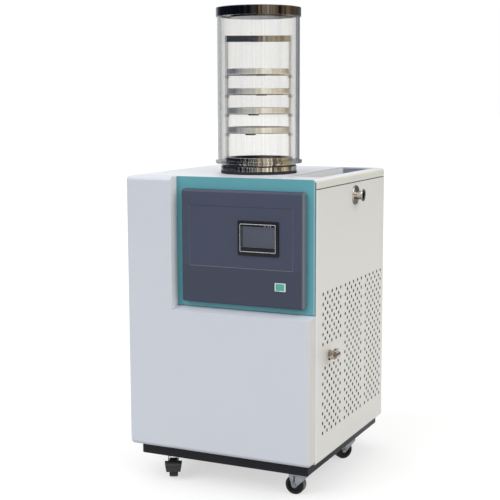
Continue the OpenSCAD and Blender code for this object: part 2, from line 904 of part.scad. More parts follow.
module tube_run(length) {
    difference() {
        cylinder(r = stub_r, h = length);
        translate([0, 0, -1]) cylinder(r = stub_bore, h = length + 2);
    }
}

module hollow_bend(turn) {
    rotate_extrude(angle = 90) translate([turn, 0]) difference() {
        circle(stub_r);
        circle(stub_bore);
    }
}

// Elbow from the panel, a forward-facing ball valve and a ridged hose barb
module drain_valve() {
    barb_l = 36;
    color("#bfc3c8") cab() translate([0, 0, drain_z]) difference() {
        union() {
            translate([side_x - 20, drain_y, 0]) rotate([0, 90, 0])
                cylinder(r = drain_pipe_r + 2, h = 20 + drain_reach);
            translate([side_x, drain_y, 0]) rotate([0, 90, 0]) cylinder(r = 13, h = 3);
            translate([side_x + 3, drain_y, 0]) rotate([0, 90, 0])
                cylinder(r = 10.4, h = 6, $fn = 6);
            translate([drain_x, drain_y, 0]) sphere(drain_d/2);
            translate([drain_x, drain_y, 0]) rotate([90, 0, 0]) cylinder(d = drain_d, h = valve_l);
            translate([drain_x, drain_y - valve_l, 0]) rotate([90, 0, 0])
                cylinder(r = drain_d/2 - 2, h = 4, $fn = 6);
            translate([drain_x, drain_y - valve_l - 4, 0]) rotate([90, 0, 0])
                cylinder(r = 4.2, h = barb_l);
            for (i = [0:2])
                translate([drain_x, drain_y - valve_l - 14 - i*9, 0]) rotate([90, 0, 0])
                    cylinder(r1 = 5.6, r2 = 4.2, h = 8);
            translate([drain_x, drain_y - valve_l/2, 0]) cylinder(r = 6, h = drain_d/2 + 4);
            translate([drain_x, drain_y - valve_l/2, 0]) cylinder(r = 3, h = drain_d/2 + 11);
        }
        translate([drain_x, drain_y + 1, 0]) rotate([90, 0, 0])
            cylinder(r = 3, h = valve_l + barb_l + 6);
    }
}

// Wing handle that turns on the valve's stem
module drain_lever() {
    z0 = drain_z + drain_d/2 + 4 + fit;
    color("#a9adb3") cab() translate([drain_x, drain_y - valve_l/2, z0]) difference() {
        union() {
            cylinder(r = 6, h = 6);
            linear_extrude(4) round_rect(9, 34, 4);
        }
        translate([0, 0, -1]) cylinder(r = 3 + run, h = 9);
    }
}

module drain_line() {
    color("#d8d8d4") cab() pipe([
        [trap_x, trap_y, trap_floor_z - jacket_bottom],
        [trap_x, trap_y, drain_z],
        [trap_x, drain_y, drain_z],
        [side_x - 20, drain_y, drain_z]], drain_pipe_r);
}

// ---- refrigeration and electrics ----

// Hermetic shell: drawn lower and upper cups with a welded seam, base plate and terminal cover
module compressor() {
    r = comp_d/2;
    color("#1d1d20") cab() translate([comp_x, comp_y, deck_z + comp_foot_h]) {
        difference() {
            linear_extrude(3) round_rect(comp_base_w, comp_base_d, 14);
            for (x = [-1, 1], y = [-1, 1])
                translate([x*comp_foot_x, y*comp_foot_y, -1]) cylinder(r = grommet_r + fit, h = 5);
        }
        translate([0, 0, 3]) rotate_extrude() polygon(concat(
            [[0, 0]],
            [for (a = [-90:15:0]) [r - 30 + 30*cos(a), 30 + 30*sin(a)]],
            [[r, comp_h*0.55], [r + 4, comp_h*0.55], [r + 4, comp_h*0.55 + 6], [r - 1, comp_h*0.55 + 6]],
            [for (a = [0:15:90]) [r - 46 + 45*cos(a), comp_h - 48 + 45*sin(a)]],
            [[0, comp_h - 3]]));
        translate([-r - 20, -terminal_w/2, terminal_z]) cube([34, terminal_w, terminal_h]);
        for (stub = [[-stub_off, suction_up, suction_r], [stub_off, discharge_up, line_r]])
            translate([r - 30, stub[0], stub[1]]) rotate([0, 90, 0]) cylinder(r = stub[2], h = 42);
    }
}

module compressor_feet() {
    color("#222226") cab() for (x = [-1, 1], y = [-1, 1])
        translate([comp_x + x*comp_foot_x, comp_y + y*comp_foot_y, deck_z]) {
            cylinder(r = 2*grommet_r, h = comp_foot_h);
            cylinder(r = grommet_r, h = comp_foot_h + 8);
        }
}

// Fin block between end plates, with the tubes' return bends showing at both ends
module condenser() {
    rows = 5;
    step = cond_h/(2*rows);
    color("#aab0b4") cab() translate([cond_x, cond_y, cond_z]) {
        translate([4, -cond_l/2 + 2, -cond_h/2 + 4]) cube([cond_t - 8, cond_l - 4, cond_h - 8]);
        for (s = [-1, 1])
            translate([0, s*(cond_l/2 - 1) - 1, -cond_h/2]) cube([cond_t, 2, cond_h]);
        for (s = [-1, 1], x = [0.3, 0.7], i = [0:rows - 1])
            translate([x*cond_t, s*cond_l/2, -cond_h/2 + step*(2*i + 1)]) rotate([0, -90, 0])
                rotate([0, 0, s > 0 ? 0 : 180]) rotate_extrude(angle = 180)
                    translate([step/2, 0]) circle(5);
        translate([0, -cond_l/2, -cond_h/2 - cond_leg]) cube([cond_t, 2, cond_leg]);
        translate([0, cond_l/2 - 2, -cond_h/2 - cond_leg]) cube([cond_t, 2, cond_leg]);
    }
}

// Sheet shroud on the condenser with a rolled ring round the fan, and arms to the motor
module fan_shroud() {
    ring = fan_d/2 + 5;
    color("#2b2c30") cab() translate([cond_x - fit, cond_y, cond_z]) rotate([0, -90, 0]) {
        difference() {
            translate([-cond_h/2, -cond_l/2, 0]) cube([cond_h, cond_l, shroud_t]);
            translate([0, 0, -1]) cylinder(r = ring, h = shroud_t + 2);
        }
        difference() {
            cylinder(r = ring + 2, h = shroud_d);
            translate([0, 0, -1]) cylinder(r = ring, h = shroud_d + 2);
        }
        for (a = [45:90:315])
            rotate([0, 0, a]) translate([motor_r - 4, -5, shroud_d - 1])
                cube([ring + 2 - motor_r + 4, 10, 4]);
        translate([0, 0, shroud_d]) difference() {
            cylinder(r = motor_r + 4, h = 3);
            translate([0, 0, -1]) cylinder(r = motor_r - 8, h = 5);
        }
    }
}

module fan_motor() {
    x1 = cond_x - fit - shroud_d - 3;
    color("#3a3c40") cab() translate([x1, cond_y, cond_z]) rotate([0, -90, 0]) {
        cylinder(r = motor_r, h = motor_l);
        translate([0, 0, motor_l]) cylinder(r = motor_r - 10, h = 5);
        translate([0, 0, -shroud_d + 4]) cylinder(r = shaft_r, h = shroud_d);
    }
}

// Hub bored for the motor shaft, with pitched blades that taper to rounded tips
module fan_blades() {
    hub_l = 14;
    pitch = 28;
    blade_t = 1.6;
    x1 = cond_x - fit - 4;
    color("#c8cacc") cab() translate([x1, cond_y, cond_z]) rotate([0, -90, 0]) difference() {
        union() {
            cylinder(r = fan_hub_r, h = hub_l);
            for (i = [0:fan_blades_n - 1])
                rotate([0, 0, i*360/fan_blades_n]) translate([0, 0, hub_l/2]) rotate([pitch, 0, 0])
                    linear_extrude(blade_t, center = true) fan_blade_outline();
        }
        translate([0, 0, -1]) cylinder(r = shaft_r + run, h = hub_l + 2);
    }
}

module fan_blade_outline() {
    tip = fan_d/2;
    intersection() {
        circle(tip - 3);
        union() {
            translate([fan_hub_r - 4, -9]) square([tip, 18]);
            translate([tip*0.66, 4]) circle(17);
        }
    }
}

module filter_drier() {
    r = 17;
    cone = 14;
    color("#b5834f") cab() translate([drier_x, drier_y, drier_z]) rotate([0, 90, 0]) {
        translate([0, 0, cone]) cylinder(r = r, h = drier_l - 2*cone);
        cylinder(r1 = line_r + 1, r2 = r, h = cone);
        translate([0, 0, drier_l - cone]) cylinder(r1 = r, r2 = line_r + 1, h = cone);
    }
}

// Copper lines: discharge to the condenser, liquid through the drier, suction from the trap
module refrigerant_lines() {
    stub_l = 12;
    lead = 30;
    feed_lead = 40;
    feed_inset = 9;
    bypass_off = 122;
    shell_x = comp_x + comp_d/2 + stub_l;
    turn_x = shell_x + lead;
    feed_x = drier_x - feed_lead;
    feed_y = trap_y + trap_d/2 + feed_inset;
    cond_end = cond_y + cond_l/2;
    cond_mid = cond_x + cond_t/2;
    jacket_low = trap_floor_z - jacket_bottom;
    base = deck_z + comp_foot_h;
    bypass_y = comp_y + bypass_off;
    color("#b56a3a") cab() {
        pipe([
            [shell_x, comp_y + stub_off, base + discharge_up],
            [turn_x, comp_y + stub_off, base + discharge_up],
            [turn_x, bypass_y, base + discharge_up],
            [cond_mid, bypass_y, base + discharge_up],
            [cond_mid, cond_end, base + discharge_up]], line_r);
        pipe([
            [cond_mid, cond_end, drier_z],
            [cond_mid, drier_y, drier_z],
            [drier_x + drier_l, drier_y, drier_z]], line_r);
        pipe([
            [drier_x, drier_y, drier_z],
            [feed_x, drier_y, drier_z],
            [feed_x, feed_y, drier_z],
            [feed_x, feed_y, jacket_low]], line_r);
        pipe([
            [shell_x, comp_y - stub_off, base + suction_up],
            [turn_x, comp_y - stub_off, base + suction_up],
            [turn_x, trap_y, base + suction_up],
            [turn_x, trap_y, jacket_low]], suction_r);
    }
}

// Folded steel box behind the console, seated in the recess at the accent panel's back
module control_box() {
    flange = 12;
    color("#c5c8cc") cab()
        translate([console_x, accent_y + mould_t + fit, console_z]) rotate([-90, 0, 0]) {
            linear_extrude(box_d) square([box_w, box_h], center = true);
            linear_extrude(sheet_t) square([box_w + 2*flange, box_h], center = true);
        }
}

module power_inlet() {
    color("#18181b") cab() translate([inlet_x, rear_y - sheet_t, inlet_z]) rotate([-90, 0, 0])
        difference() {
            union() {
                linear_extrude(sheet_t) round_rect(inlet_w, inlet_h, 3);
                translate([0, 0, -22]) linear_extrude(22)
                    square([inlet_w - 6 - 2*fit, inlet_h - 6 - 2*fit], center = true);
            }
            difference() {
                translate([0, 0, -14]) linear_extrude(20) round_rect(28, 20, 3);
                for (pin = [[-7, 2], [0, -2], [7, 2]])
                    translate([pin[0] - 1, pin[1] - 2, -15]) cube([2, 4, 12]);
            }
        }
}

// ---- castors ----

module at_castor(place) {
    cab() translate([place[0], place[1], 0]) rotate([0, 0, place[2]]) children();
}

// Top plate with its ball race cup and the riveted kingpin
module castor_plate(place) {
    z1 = castor_h - castor_plate_t;
    race_z = z1 - race_h;
    head_h = 2.5;
    color("#aeb2b6") cab() translate([place[0], place[1], 0]) {
        translate([0, 0, z1]) linear_extrude(castor_plate_t) difference() {
            round_rect(62, 48, 6);
            for (x = [-1, 1], y = [-1, 1])
                translate([x*23, y*16]) circle(3.2);
        }
        translate([0, 0, race_z]) cylinder(r1 = 19, r2 = 21, h = race_h);
        translate([0, 0, crown_z - fit]) cylinder(r = king_r, h = race_z - crown_z + fit);
        translate([0, 0, crown_z - fit - head_h]) cylinder(r1 = 5, r2 = 7, h = head_h);
    }
}

// Pressed fork: a round crown on the kingpin, two tapering cheeks, and the axle with its nuts
module castor_fork(place, braked) {
    color("#a6abb0") at_castor(place) {
        difference() {
            translate([0, 0, crown_z]) linear_extrude(crown_t) union() {
                circle(21);
                translate([-21, -cheek_y - cheek_t]) square([39, 2*(cheek_y + cheek_t)]);
            }
            translate([0, 0, crown_z - 1]) cylinder(r = king_r + run, h = crown_t + 2);
        }
        for (s = [-1, 1])
            translate([0, s*(cheek_y + cheek_t/2) + cheek_t/2, 0]) rotate([90, 0, 0])
                linear_extrude(cheek_t) fork_cheek(braked);
        translate([-castor_trail, cheek_y + cheek_t + 3, axle_z]) rotate([90, 0, 0])
            cylinder(r = axle_r, h = 2*(cheek_y + cheek_t + 3));
        for (s = [-1, 1])
            translate([-castor_trail, s*(cheek_y + cheek_t + 1.5), axle_z]) rotate([90, 0, 0])
                cylinder(r = 6.8, h = 3, center = true, $fn = 6);
        if (braked)
            translate([brake_x, cheek_y + cheek_t, brake_z]) rotate([90, 0, 0])
                cylinder(r = brake_pin_r, h = 2*(cheek_y + cheek_t));
    }
}

module fork_cheek(braked) {
    translate([-castor_trail, axle_z]) circle(9);
    polygon([[-21, crown_z + 1], [18, crown_z + 1], [18, crown_z - 5], [-castor_trail + 8.5, axle_z - 3],
        [-castor_trail - 8.6, axle_z + 3]]);
    if (braked) {
        translate([brake_x, brake_z]) circle(5);
        polygon([[-21, crown_z + 1], [brake_x, brake_z + 5], [brake_x - 4.8, brake_z - 1.5],
            [-castor_trail - 8, axle_z + 6], [-10, axle_z + 14]]);
    }
}

// Moulded wheel: rounded tread, dished web and a hub bored for the axle
module castor_wheel(place) {
    half = wheel_w/2;
    hub = half + 1;
    color("#1c1c1f") at_castor(place) translate([-castor_trail, 0, axle_z]) rotate([90, 0, 0])
        rotate_extrude() difference() {
            union() {
                translate([axle_r + run, -hub]) square([5, 2*hub]);
                translate([axle_r + run, -half + 5]) square([wheel_r - 8, wheel_w - 10]);
                translate([wheel_r - 10, -half]) square([7, wheel_w]);
                translate([wheel_r - 10, -half + 3]) square([10, wheel_w - 6]);
                for (s = [-1, 1])
                    translate([wheel_r - 3, s*(half - 3)]) circle(3);
            }
            translate([-wheel_r, -hub - 1]) square([wheel_r + axle_r + run, 2*hub + 2]);
        }
}

// Foot pedal that swings on the fork's rear pin: an arm between the cheeks and a tapering hood
module castor_brake(place) {
    arm_w = 2*cheek_y - 1;
    hood_x = 6.5;
    foot_w = hood_w - 10;
    color("#17171a") at_castor(place) translate([brake_x, 0, brake_z]) {
        translate([0, arm_w/2, 0]) rotate([90, 0, 0]) linear_extrude(arm_w) difference() {
            union() {
                circle(4.4);
                translate([-hood_x - 1, 1]) square([hood_x + 1, 3]);
            }
            circle(brake_pin_r + run);
        }
        intersection() {
            translate([0, hood_w/2, 0]) rotate([90, 0, 0]) linear_extrude(hood_w) hood_side(hood_x);
            rotate([90, 0, -90]) linear_extrude(hood_reach + 1) polygon([
                [-foot_w/2, -hood_drop], [foot_w/2, -hood_drop], [hood_w/2, 0], [hood_w/2, 5],
                [-hood_w/2, 5], [-hood_w/2, 0]]);
        }
    }
}

// Side outline of the hood: a quarter ring over the wheel's back that ends in a straight lip
module hood_side(start) {
    bend_r = hood_reach - start;
    low = 4 - bend_r;
    intersection() {
        translate([-start, low]) difference() {
            circle(bend_r);
            circle(bend_r - hood_t);
        }
        translate([-hood_reach, low]) square([hood_reach - start, bend_r]);
    }
    translate([-hood_reach, -hood_drop]) square([hood_t, hood_drop + low + 0.5]);
}

module castor_fl_plate() {
    castor_plate(fl);
}

module castor_fl_fork() {
    castor_fork(fl, true);
}

module castor_fl_wheel() {
    castor_wheel(fl);
}

module castor_fl_brake() {
    castor_brake(fl);
}

module castor_fr_plate() {
    castor_plate(fr);
}

module castor_fr_fork() {
    castor_fork(fr, false);
}

module castor_fr_wheel() {
    castor_wheel(fr);
}

module castor_rl_plate() {
    castor_plate(rl);
}

module castor_rl_fork() {
    castor_fork(rl, false);
}

module castor_rl_wheel() {
    castor_wheel(rl);
}

module castor_rr_plate() {
    castor_plate(rr);
}

module castor_rr_fork() {
    castor_fork(rr, false);
}

module castor_rr_wheel() {
    castor_wheel(rr);
}

plinth();
cabinet_floor();
front_bezel();
accent_panel();
console_panel();
screen_housing();
screen_glass();
switch_frame();
switch_rocker();
top_cover();
right_side_panel();
left_side_panel();
rear_panel();
post_front_left();
post_front_right();
post_rear_left();
post_rear_right();
base_gasket();
cold_trap();
trap_jacket();
foot_gasket();
chamber_tube();
lid_gasket();
chamber_lid();
rack_base();
rack_rods();
rack_top();
tray_1();
tray_2();
tray_3();
tray_4();
vacuum_port();
vacuum_line();
drain_valve();
drain_lever();
drain_line();
compressor();
compressor_feet();
condenser();
fan_shroud();
fan_motor();
fan_blades();
filter_drier();
refrigerant_lines();
control_box();
power_inlet();
castor_fl_plate();
castor_fl_fork();
castor_fl_wheel();
castor_fl_brake();
castor_fr_plate();
castor_fr_fork();
castor_fr_wheel();
castor_rl_plate();
castor_rl_fork();
castor_rl_wheel();
castor_rr_plate();
castor_rr_fork();
castor_rr_wheel();
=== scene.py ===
import json
import math
import bmesh
import bpy
from mathutils import Matrix, Vector


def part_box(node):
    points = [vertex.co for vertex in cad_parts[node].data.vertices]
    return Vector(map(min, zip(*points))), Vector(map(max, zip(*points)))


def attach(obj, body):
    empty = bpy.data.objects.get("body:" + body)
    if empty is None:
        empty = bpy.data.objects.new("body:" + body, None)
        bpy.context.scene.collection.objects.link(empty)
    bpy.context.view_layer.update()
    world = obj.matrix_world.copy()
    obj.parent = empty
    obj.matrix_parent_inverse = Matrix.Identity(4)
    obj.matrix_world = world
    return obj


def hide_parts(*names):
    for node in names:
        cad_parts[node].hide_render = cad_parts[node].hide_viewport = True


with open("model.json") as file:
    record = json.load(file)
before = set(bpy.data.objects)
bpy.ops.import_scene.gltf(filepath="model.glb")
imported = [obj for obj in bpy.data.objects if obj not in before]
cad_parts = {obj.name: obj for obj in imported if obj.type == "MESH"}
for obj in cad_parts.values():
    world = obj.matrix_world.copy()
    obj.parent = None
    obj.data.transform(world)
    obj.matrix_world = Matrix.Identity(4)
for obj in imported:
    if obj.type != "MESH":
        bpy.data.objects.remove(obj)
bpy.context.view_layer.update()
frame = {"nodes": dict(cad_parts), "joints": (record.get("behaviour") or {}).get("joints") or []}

nodes = frame["nodes"]
scene = bpy.context.scene
print("frame loaded:", len(nodes), "solids")


def shade(red, green, blue, alpha=1.0):
    # screen colour, 0 to 255, to the linear value that a shader wants
    def linear(v):
        v /= 255
        return v / 12.92 if v <= 0.04045 else ((v + 0.055) / 1.055) ** 2.4
    return (linear(red), linear(green), linear(blue), alpha)


# camera: where it stands in metres, its angles in degrees, its lens and sensor in millimetres
viewer = {"place": (1.5515, -3.4177, 1.2484), "turn": 25.26, "down": 7.79, "roll": -0.21,
          "lens": 80.75, "sensor": 36, "reach": 200}
cameraData = bpy.data.cameras.new("viewer")
cameraData.lens = viewer["lens"]
cameraData.sensor_width = viewer["sensor"]
cameraData.clip_end = viewer["reach"]
camera = bpy.data.objects.new("viewer", cameraData)
camera.matrix_world = (Matrix.Translation(viewer["place"])
                       @ Matrix.Rotation(math.radians(viewer["turn"]), 4, "Z")
                       @ Matrix.Rotation(math.radians(90 - viewer["down"]), 4, "X")
                       @ Matrix.Rotation(math.radians(viewer["roll"]), 4, "Z"))
scene.collection.objects.link(camera)
scene.camera = camera
scene.view_settings.view_transform = "Standard"


def newGroup(name, inputs, outputs):
    # an empty shader group with its sockets, which several materials share
    group = bpy.data.node_groups.new(name, "ShaderNodeTree")
    for label, kind, value in inputs:
        group.interface.new_socket(label, in_out="INPUT", socket_type=kind).default_value = value
    for label, kind in outputs:
        group.interface.new_socket(label, in_out="OUTPUT", socket_type=kind)
    start, end = group.nodes.new("NodeGroupInput"), group.nodes.new("NodeGroupOutput")
    return group, start, end


def feed(tree, node, values):
    # each value is linked if it is a socket, and typed in if not
    for name, value in values.items():
        if isinstance(value, bpy.types.NodeSocket):
            tree.links.new(value, node.inputs[name])
        else:
            node.inputs[name].default_value = value
    return node


def put(tree, kind, values=None, **settings):
    node = tree.nodes.new("ShaderNode" + kind)
    for name, value in settings.items():
        setattr(node, name, value)
    return feed(tree, node, values or {})


def maths(tree, operation, first, second=0.5, clamp=False):
    return put(tree, "Math", {0: first, 1: second}, operation=operation, use_clamp=clamp).outputs[0]


def remap(tree, value, span=(0.0, 1.0), to=(0.0, 1.0), ease="LINEAR"):
    # a value carried from one span to another and held at its ends
    return put(tree, "MapRange", {"Value": value, "From Min": span[0], "From Max": span[1],
                                  "To Min": to[0], "To Max": to[1]}, interpolation_type=ease).outputs["Result"]


def axes(tree):
    return put(tree, "SeparateXYZ", {0: place(tree)}).outputs


def mixColours(tree, factor, first, second):
    return put(tree, "Mix", {0: factor, 6: first, 7: second}, data_type="RGBA").outputs[2]


def mouldedGrain():
    # fine orange peel of a moulded or sprayed skin: a height, and a slow mottle from 0 to 1
    group, start, end = newGroup(
        "mouldedGrain",
        [("Vector", "NodeSocketVector", (0, 0, 0)), ("Scale", "NodeSocketFloat", 600.0),
         ("Mottle Scale", "NodeSocketFloat", 6.0)],
        [("Height", "NodeSocketFloat"), ("Mottle", "NodeSocketFloat")])
    fine = put(group, "TexNoise", {"Vector": start.outputs["Vector"], "Scale": start.outputs["Scale"],
                                   "Detail": 3.0, "Roughness": 0.55})
    slow = put(group, "TexNoise", {"Vector": start.outputs["Vector"], "Scale": start.outputs["Mottle Scale"],
                                   "Detail": 4.0, "Roughness": 0.6})
    group.links.new(fine.outputs["Fac"], end.inputs["Height"])
    group.links.new(slow.outputs["Fac"], end.inputs["Mottle"])
    return group


broadShare, edgeGain = 0.12, 6.0  # scale of broad streaks against fine lines; how soon an edge counts in the edge mask


def brushedLines():
    # lines of a brush or a lathe tool, stretched by the vector that each material scales
    group, start, end = newGroup(
        "brushedLines",
        [("Vector", "NodeSocketVector", (0, 0, 0)), ("Scale", "NodeSocketFloat", 200.0)],
        [("Height", "NodeSocketFloat"), ("Streak", "NodeSocketFloat")])
    lines = put(group, "TexNoise", {"Vector": start.outputs["Vector"], "Scale": start.outputs["Scale"],
                                    "Detail": 6.0, "Roughness": 0.7})
    broad = put(group, "TexNoise", {"Vector": start.outputs["Vector"],
                                    "Scale": maths(group, "MULTIPLY", start.outputs["Scale"], broadShare),
                                    "Detail": 2.0})
    group.links.new(lines.outputs["Fac"], end.inputs["Height"])
    group.links.new(broad.outputs["Fac"], end.inputs["Streak"])
    return group


def edgeMask():
    # where a rounded normal leaves the true one: 0 on flats, towards 1 on edges
    group, start, end = newGroup(
        "edgeMask",
        [("Vector", "NodeSocketVector", (0, 0, 0)), ("Width", "NodeSocketFloat", 0.001),
         ("Break Up", "NodeSocketFloat", 60.0)],
        [("Edge", "NodeSocketFloat"), ("Normal", "NodeSocketVector")])
    rounded = put(group, "Bevel", {"Radius": start.outputs["Width"]}, samples=4).outputs["Normal"]
    plain = put(group, "NewGeometry").outputs["Normal"]
    alike = put(group, "VectorMath", {0: rounded, 1: plain}, operation="DOT_PRODUCT").outputs["Value"]
    edge = maths(group, "MULTIPLY", maths(group, "SUBTRACT", 1.0, alike, True), edgeGain, True)
    patches = put(group, "TexNoise", {"Vector": start.outputs["Vector"],
                                      "Scale": start.outputs["Break Up"], "Detail": 3.0})
    group.links.new(maths(group, "MULTIPLY", edge, patches.outputs["Fac"], True), end.inputs["Edge"])
    group.links.new(rounded, end.inputs["Normal"])
    return group


shared = {"grain": mouldedGrain(), "brush": brushedLines(), "edge": edgeMask()}


def newMaterial(name):
    material = bpy.data.materials.new(name)
    material.use_nodes = True
    tree = material.node_tree
    tree.nodes.clear()
    out, surface = put(tree, "OutputMaterial"), put(tree, "BsdfPrincipled")
    tree.links.new(surface.outputs[0], out.inputs["Surface"])
    return material, tree, surface, out


def roughen(tree, surface, value, to, span=(0.0, 1.0)):
    tree.links.new(remap(tree, value, span, to), surface.inputs["Roughness"])


def paintOver(material, mask, colour):
    # a colour laid over the finish that a material already has
    tree = material.node_tree
    base = next(n for n in tree.nodes if n.type == "BSDF_PRINCIPLED").inputs["Base Color"]
    tree.links.new(mixColours(tree, mask, base.links[0].from_socket, colour), base)


def place(tree, stretch=(1, 1, 1)):
    # object coordinates in metres, stretched for brushed and turned finishes
    where = put(tree, "TexCoord").outputs["Object"]
    if stretch == (1, 1, 1):
        return where
    return put(tree, "Mapping", {"Vector": where, "Scale": stretch}).outputs["Vector"]


def useGroup(tree, name, values):
    node = tree.nodes.new("ShaderNodeGroup")
    node.node_tree = shared[name]
    return feed(tree, node, values)


def edgeMaskFor(tree, vector, look):
    return useGroup(tree, "edge", {"Vector": vector, "Width": look["edge"], "Break Up": look["patches"]})


def relief(tree, surface, height, edge, look):
    # bump of a finish over its softened edges
    bump = put(tree, "Bump", {"Height": height, "Strength": look["bump"], "Distance": look["depth"],
                              "Normal": edge.outputs["Normal"]})
    tree.links.new(bump.outputs["Normal"], surface.inputs["Normal"])


facing = {"span": (0.35, 0.75), "free": (None, None, None)}  # how square a face must stand; no limits


def zoneMask(tree, zone):
    # 1 where a surface faces a way and lies between two corners, 0 elsewhere
    masks = []
    if "toward" in zone:
        normal = put(tree, "NewGeometry").outputs["Normal"]
        square = put(tree, "VectorMath", {0: normal, 1: zone["toward"]}, operation="DOT_PRODUCT")
        masks.append(remap(tree, square.outputs["Value"], facing["span"]))
    if "low" in zone or "high" in zone:
        where = axes(tree)
        for axis, low, high in zip("XYZ", zone.get("low", facing["free"]), zone.get("high", facing["free"])):
            if low is not None:
                masks.append(maths(tree, "GREATER_THAN", where[axis], low))
            if high is not None:
                masks.append(maths(tree, "LESS_THAN", where[axis], high))
    mask = masks[0]
    for part in masks[1:]:
        mask = maths(tree, "MULTIPLY", mask, part)
    return mask


def paintZones(tree, base, look):
    for zone in look.get("zones", []):
        base = mixColours(tree, zoneMask(tree, zone), base, zone["colour"])
    return base


skinUsual = {"mottle": 5.0, "edge": 0.0012, "patches": 40.0, "wearAndHighlightShare": 0.3, "depth": 0.0004, "specular": 0.5,
             "span": (0.3, 0.7), "rimShadeGain": 14.0}
metalUsual = {"edge": 0.0006, "patches": 9.0, "depth": 0.0002, "span": (0.3, 0.7)}


def skin(name, look):
    # painted or moulded skin: grain bump, mottled roughness, softened edges that turn paler, partly wear and partly a
    # painted highlight
    look = {**skinUsual, **look}
    material, tree, surface, _ = newMaterial(name)
    where = place(tree)
    grain = useGroup(tree, "grain", {"Vector": where, "Scale": look["grain"], "Mottle Scale": look["mottle"]})
    edge = edgeMaskFor(tree, where, look)
    base = mixColours(tree, grain.outputs["Mottle"], look["colour"], look["second"])
    base = paintZones(tree, base, look)
    # paler edges: part wear, part a painted highlight where the edges catch the light
    base = mixColours(tree, maths(tree, "MULTIPLY", edge.outputs["Edge"], look["wearAndHighlightShare"]), base, look["wearAndHighlight"])
    # painted shade: dark rims round the vent holes stand in for the shade inside them
    if "rimShade" in look:
        rim = maths(tree, "MULTIPLY", maths(tree, "MULTIPLY", edge.outputs["Edge"], look["rimShadeGain"], True),
                    zoneMask(tree, look["rimShade"]))
        base = mixColours(tree, rim, base, look["rimShade"]["colour"])
    tree.links.new(base, surface.inputs["Base Color"])
    roughen(tree, surface, grain.outputs["Mottle"], look["rough"], look["span"])
    relief(tree, surface, grain.outputs["Height"], edge, look)
    surface.inputs["Specular IOR Level"].default_value = look["specular"]
    return material


def metal(name, look):
    # bare metal: brushed or turned lines along the stretched vector, streaked roughness
    look = {**metalUsual, **look}
    material, tree, surface, _ = newMaterial(name)
    where = place(tree, look.get("stretch", (1, 1, 1)))
    brush = useGroup(tree, "brush", {"Vector": where, "Scale": look["lines"]})
    edge = edgeMaskFor(tree, where, look)
    base = mixColours(tree, brush.outputs["Streak"], look["colour"], look["second"])
    tree.links.new(paintZones(tree, base, look), surface.inputs["Base Color"])
    surface.inputs["Metallic"].default_value = 1.0
    roughen(tree, surface, brush.outputs["Height"], look["rough"], look["span"])
    relief(tree, surface, brush.outputs["Height"], edge, look)
    return material


def turnAround(tree, node, first, second):
    # angle round the middle of a node's box, across two axes
    low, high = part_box(node)
    middle, where = (low + high)/2, axes(tree)
    along = [maths(tree, "SUBTRACT", where[axis], getattr(middle, axis.lower())) for axis in (first, second)]
    return maths(tree, "ARCTAN2", along[0], along[1])


def uprightLines(tree, position, look):
    # streaks that run one way: noise along a single line
    return put(tree, "TexNoise", {"W": maths(tree, "MULTIPLY", position, look["streaks"]), "Scale": 1.0,
                                  "Detail": 3.0, "Roughness": look["rougher"]}, noise_dimensions="1D").outputs["Fac"]


def clearWall(name, look):
    # clear acrylic: lamps reach what is inside, and long paths through the wall darken a little
    material, tree, surface, out = newMaterial(name)
    grain = useGroup(tree, "grain", {"Vector": place(tree), "Scale": look["grain"], "Mottle Scale": look["mottle"]})
    surface.inputs["Transmission Weight"].default_value = 1.0
    surface.inputs["IOR"].default_value = look["ior"]
    roughen(tree, surface, grain.outputs["Mottle"], look["rough"], look["span"])
    # faint upright streaks in the tint: a painted reflection of the room on the curved wall
    draw = uprightLines(tree, turnAround(tree, "chamber_tube", "Y", "X"), look)
    lines = remap(tree, draw, look["contrast"])
    tree.links.new(mixColours(tree, lines, look["colour"], look["line"]), surface.inputs["Base Color"])
    waves = put(tree, "Bump", {"Height": draw, "Strength": look["wave"], "Distance": look["depth"]})
    tree.links.new(waves.outputs["Normal"], surface.inputs["Normal"])
    path = put(tree, "LightPath")
    passing = put(tree, "BsdfTransparent", {"Color": look["shadow"]})
    lampRay = maths(tree, "MAXIMUM", path.outputs["Is Shadow Ray"], path.outputs["Is Diffuse Ray"])
    mixed = put(tree, "MixShader", {0: lampRay, 1: surface.outputs[0], 2: passing.outputs[0]})
    tree.links.new(mixed.outputs[0], out.inputs["Surface"])
    absorb = put(tree, "VolumeAbsorption", {"Color": look["tint"], "Density": look["density"]})
    tree.links.new(absorb.outputs[0], out.inputs["Volume"])
    return material


# where painted light and shade go: painted shade in the seams and insides, painted warm light on the sides that face
# the right-hand lamp, and the outline of the console's field
_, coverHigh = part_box("top_cover")
panelLow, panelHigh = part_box("right_side_panel")
leftLow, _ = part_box("left_side_panel")
accentLow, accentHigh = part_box("accent_panel")
seam = {"cover": 0.0010, "accent": 0.0012, "skin": 0.0004, "warmSide": 0.02, "strip": 0.012,
        "fold": 0.01, "accentRim": 0.0055}
vented = {"front": panelLow.y + 0.02, "rear": panelHigh.y - 0.02, "low": 0.19, "high": 0.66}
pocket = {"rim": 0.028, "rear": 0.033, "length": 0.509, "width": 0.122, "below": 0.004}
overlay = {"right": 0.2395, "below": 0.087, "width": 0.353, "height": 0.190, "groove": 0.0016}
cabinetRight, cabinetTop = panelHigh.x, coverHigh.z
pocketZone = {"low": (cabinetRight - pocket["rim"] - pocket["width"],
                      coverHigh.y - pocket["rear"] - pocket["length"], None),
              "high": (cabinetRight - pocket["rim"], coverHigh.y - pocket["rear"], cabinetTop - pocket["below"])}
overlayLow = (cabinetRight - overlay["right"] - overlay["width"]/2, cabinetTop - overlay["below"] - overlay["height"])
overlayHigh = (overlayLow[0] + overlay["width"], overlayLow[1] + overlay["height"])


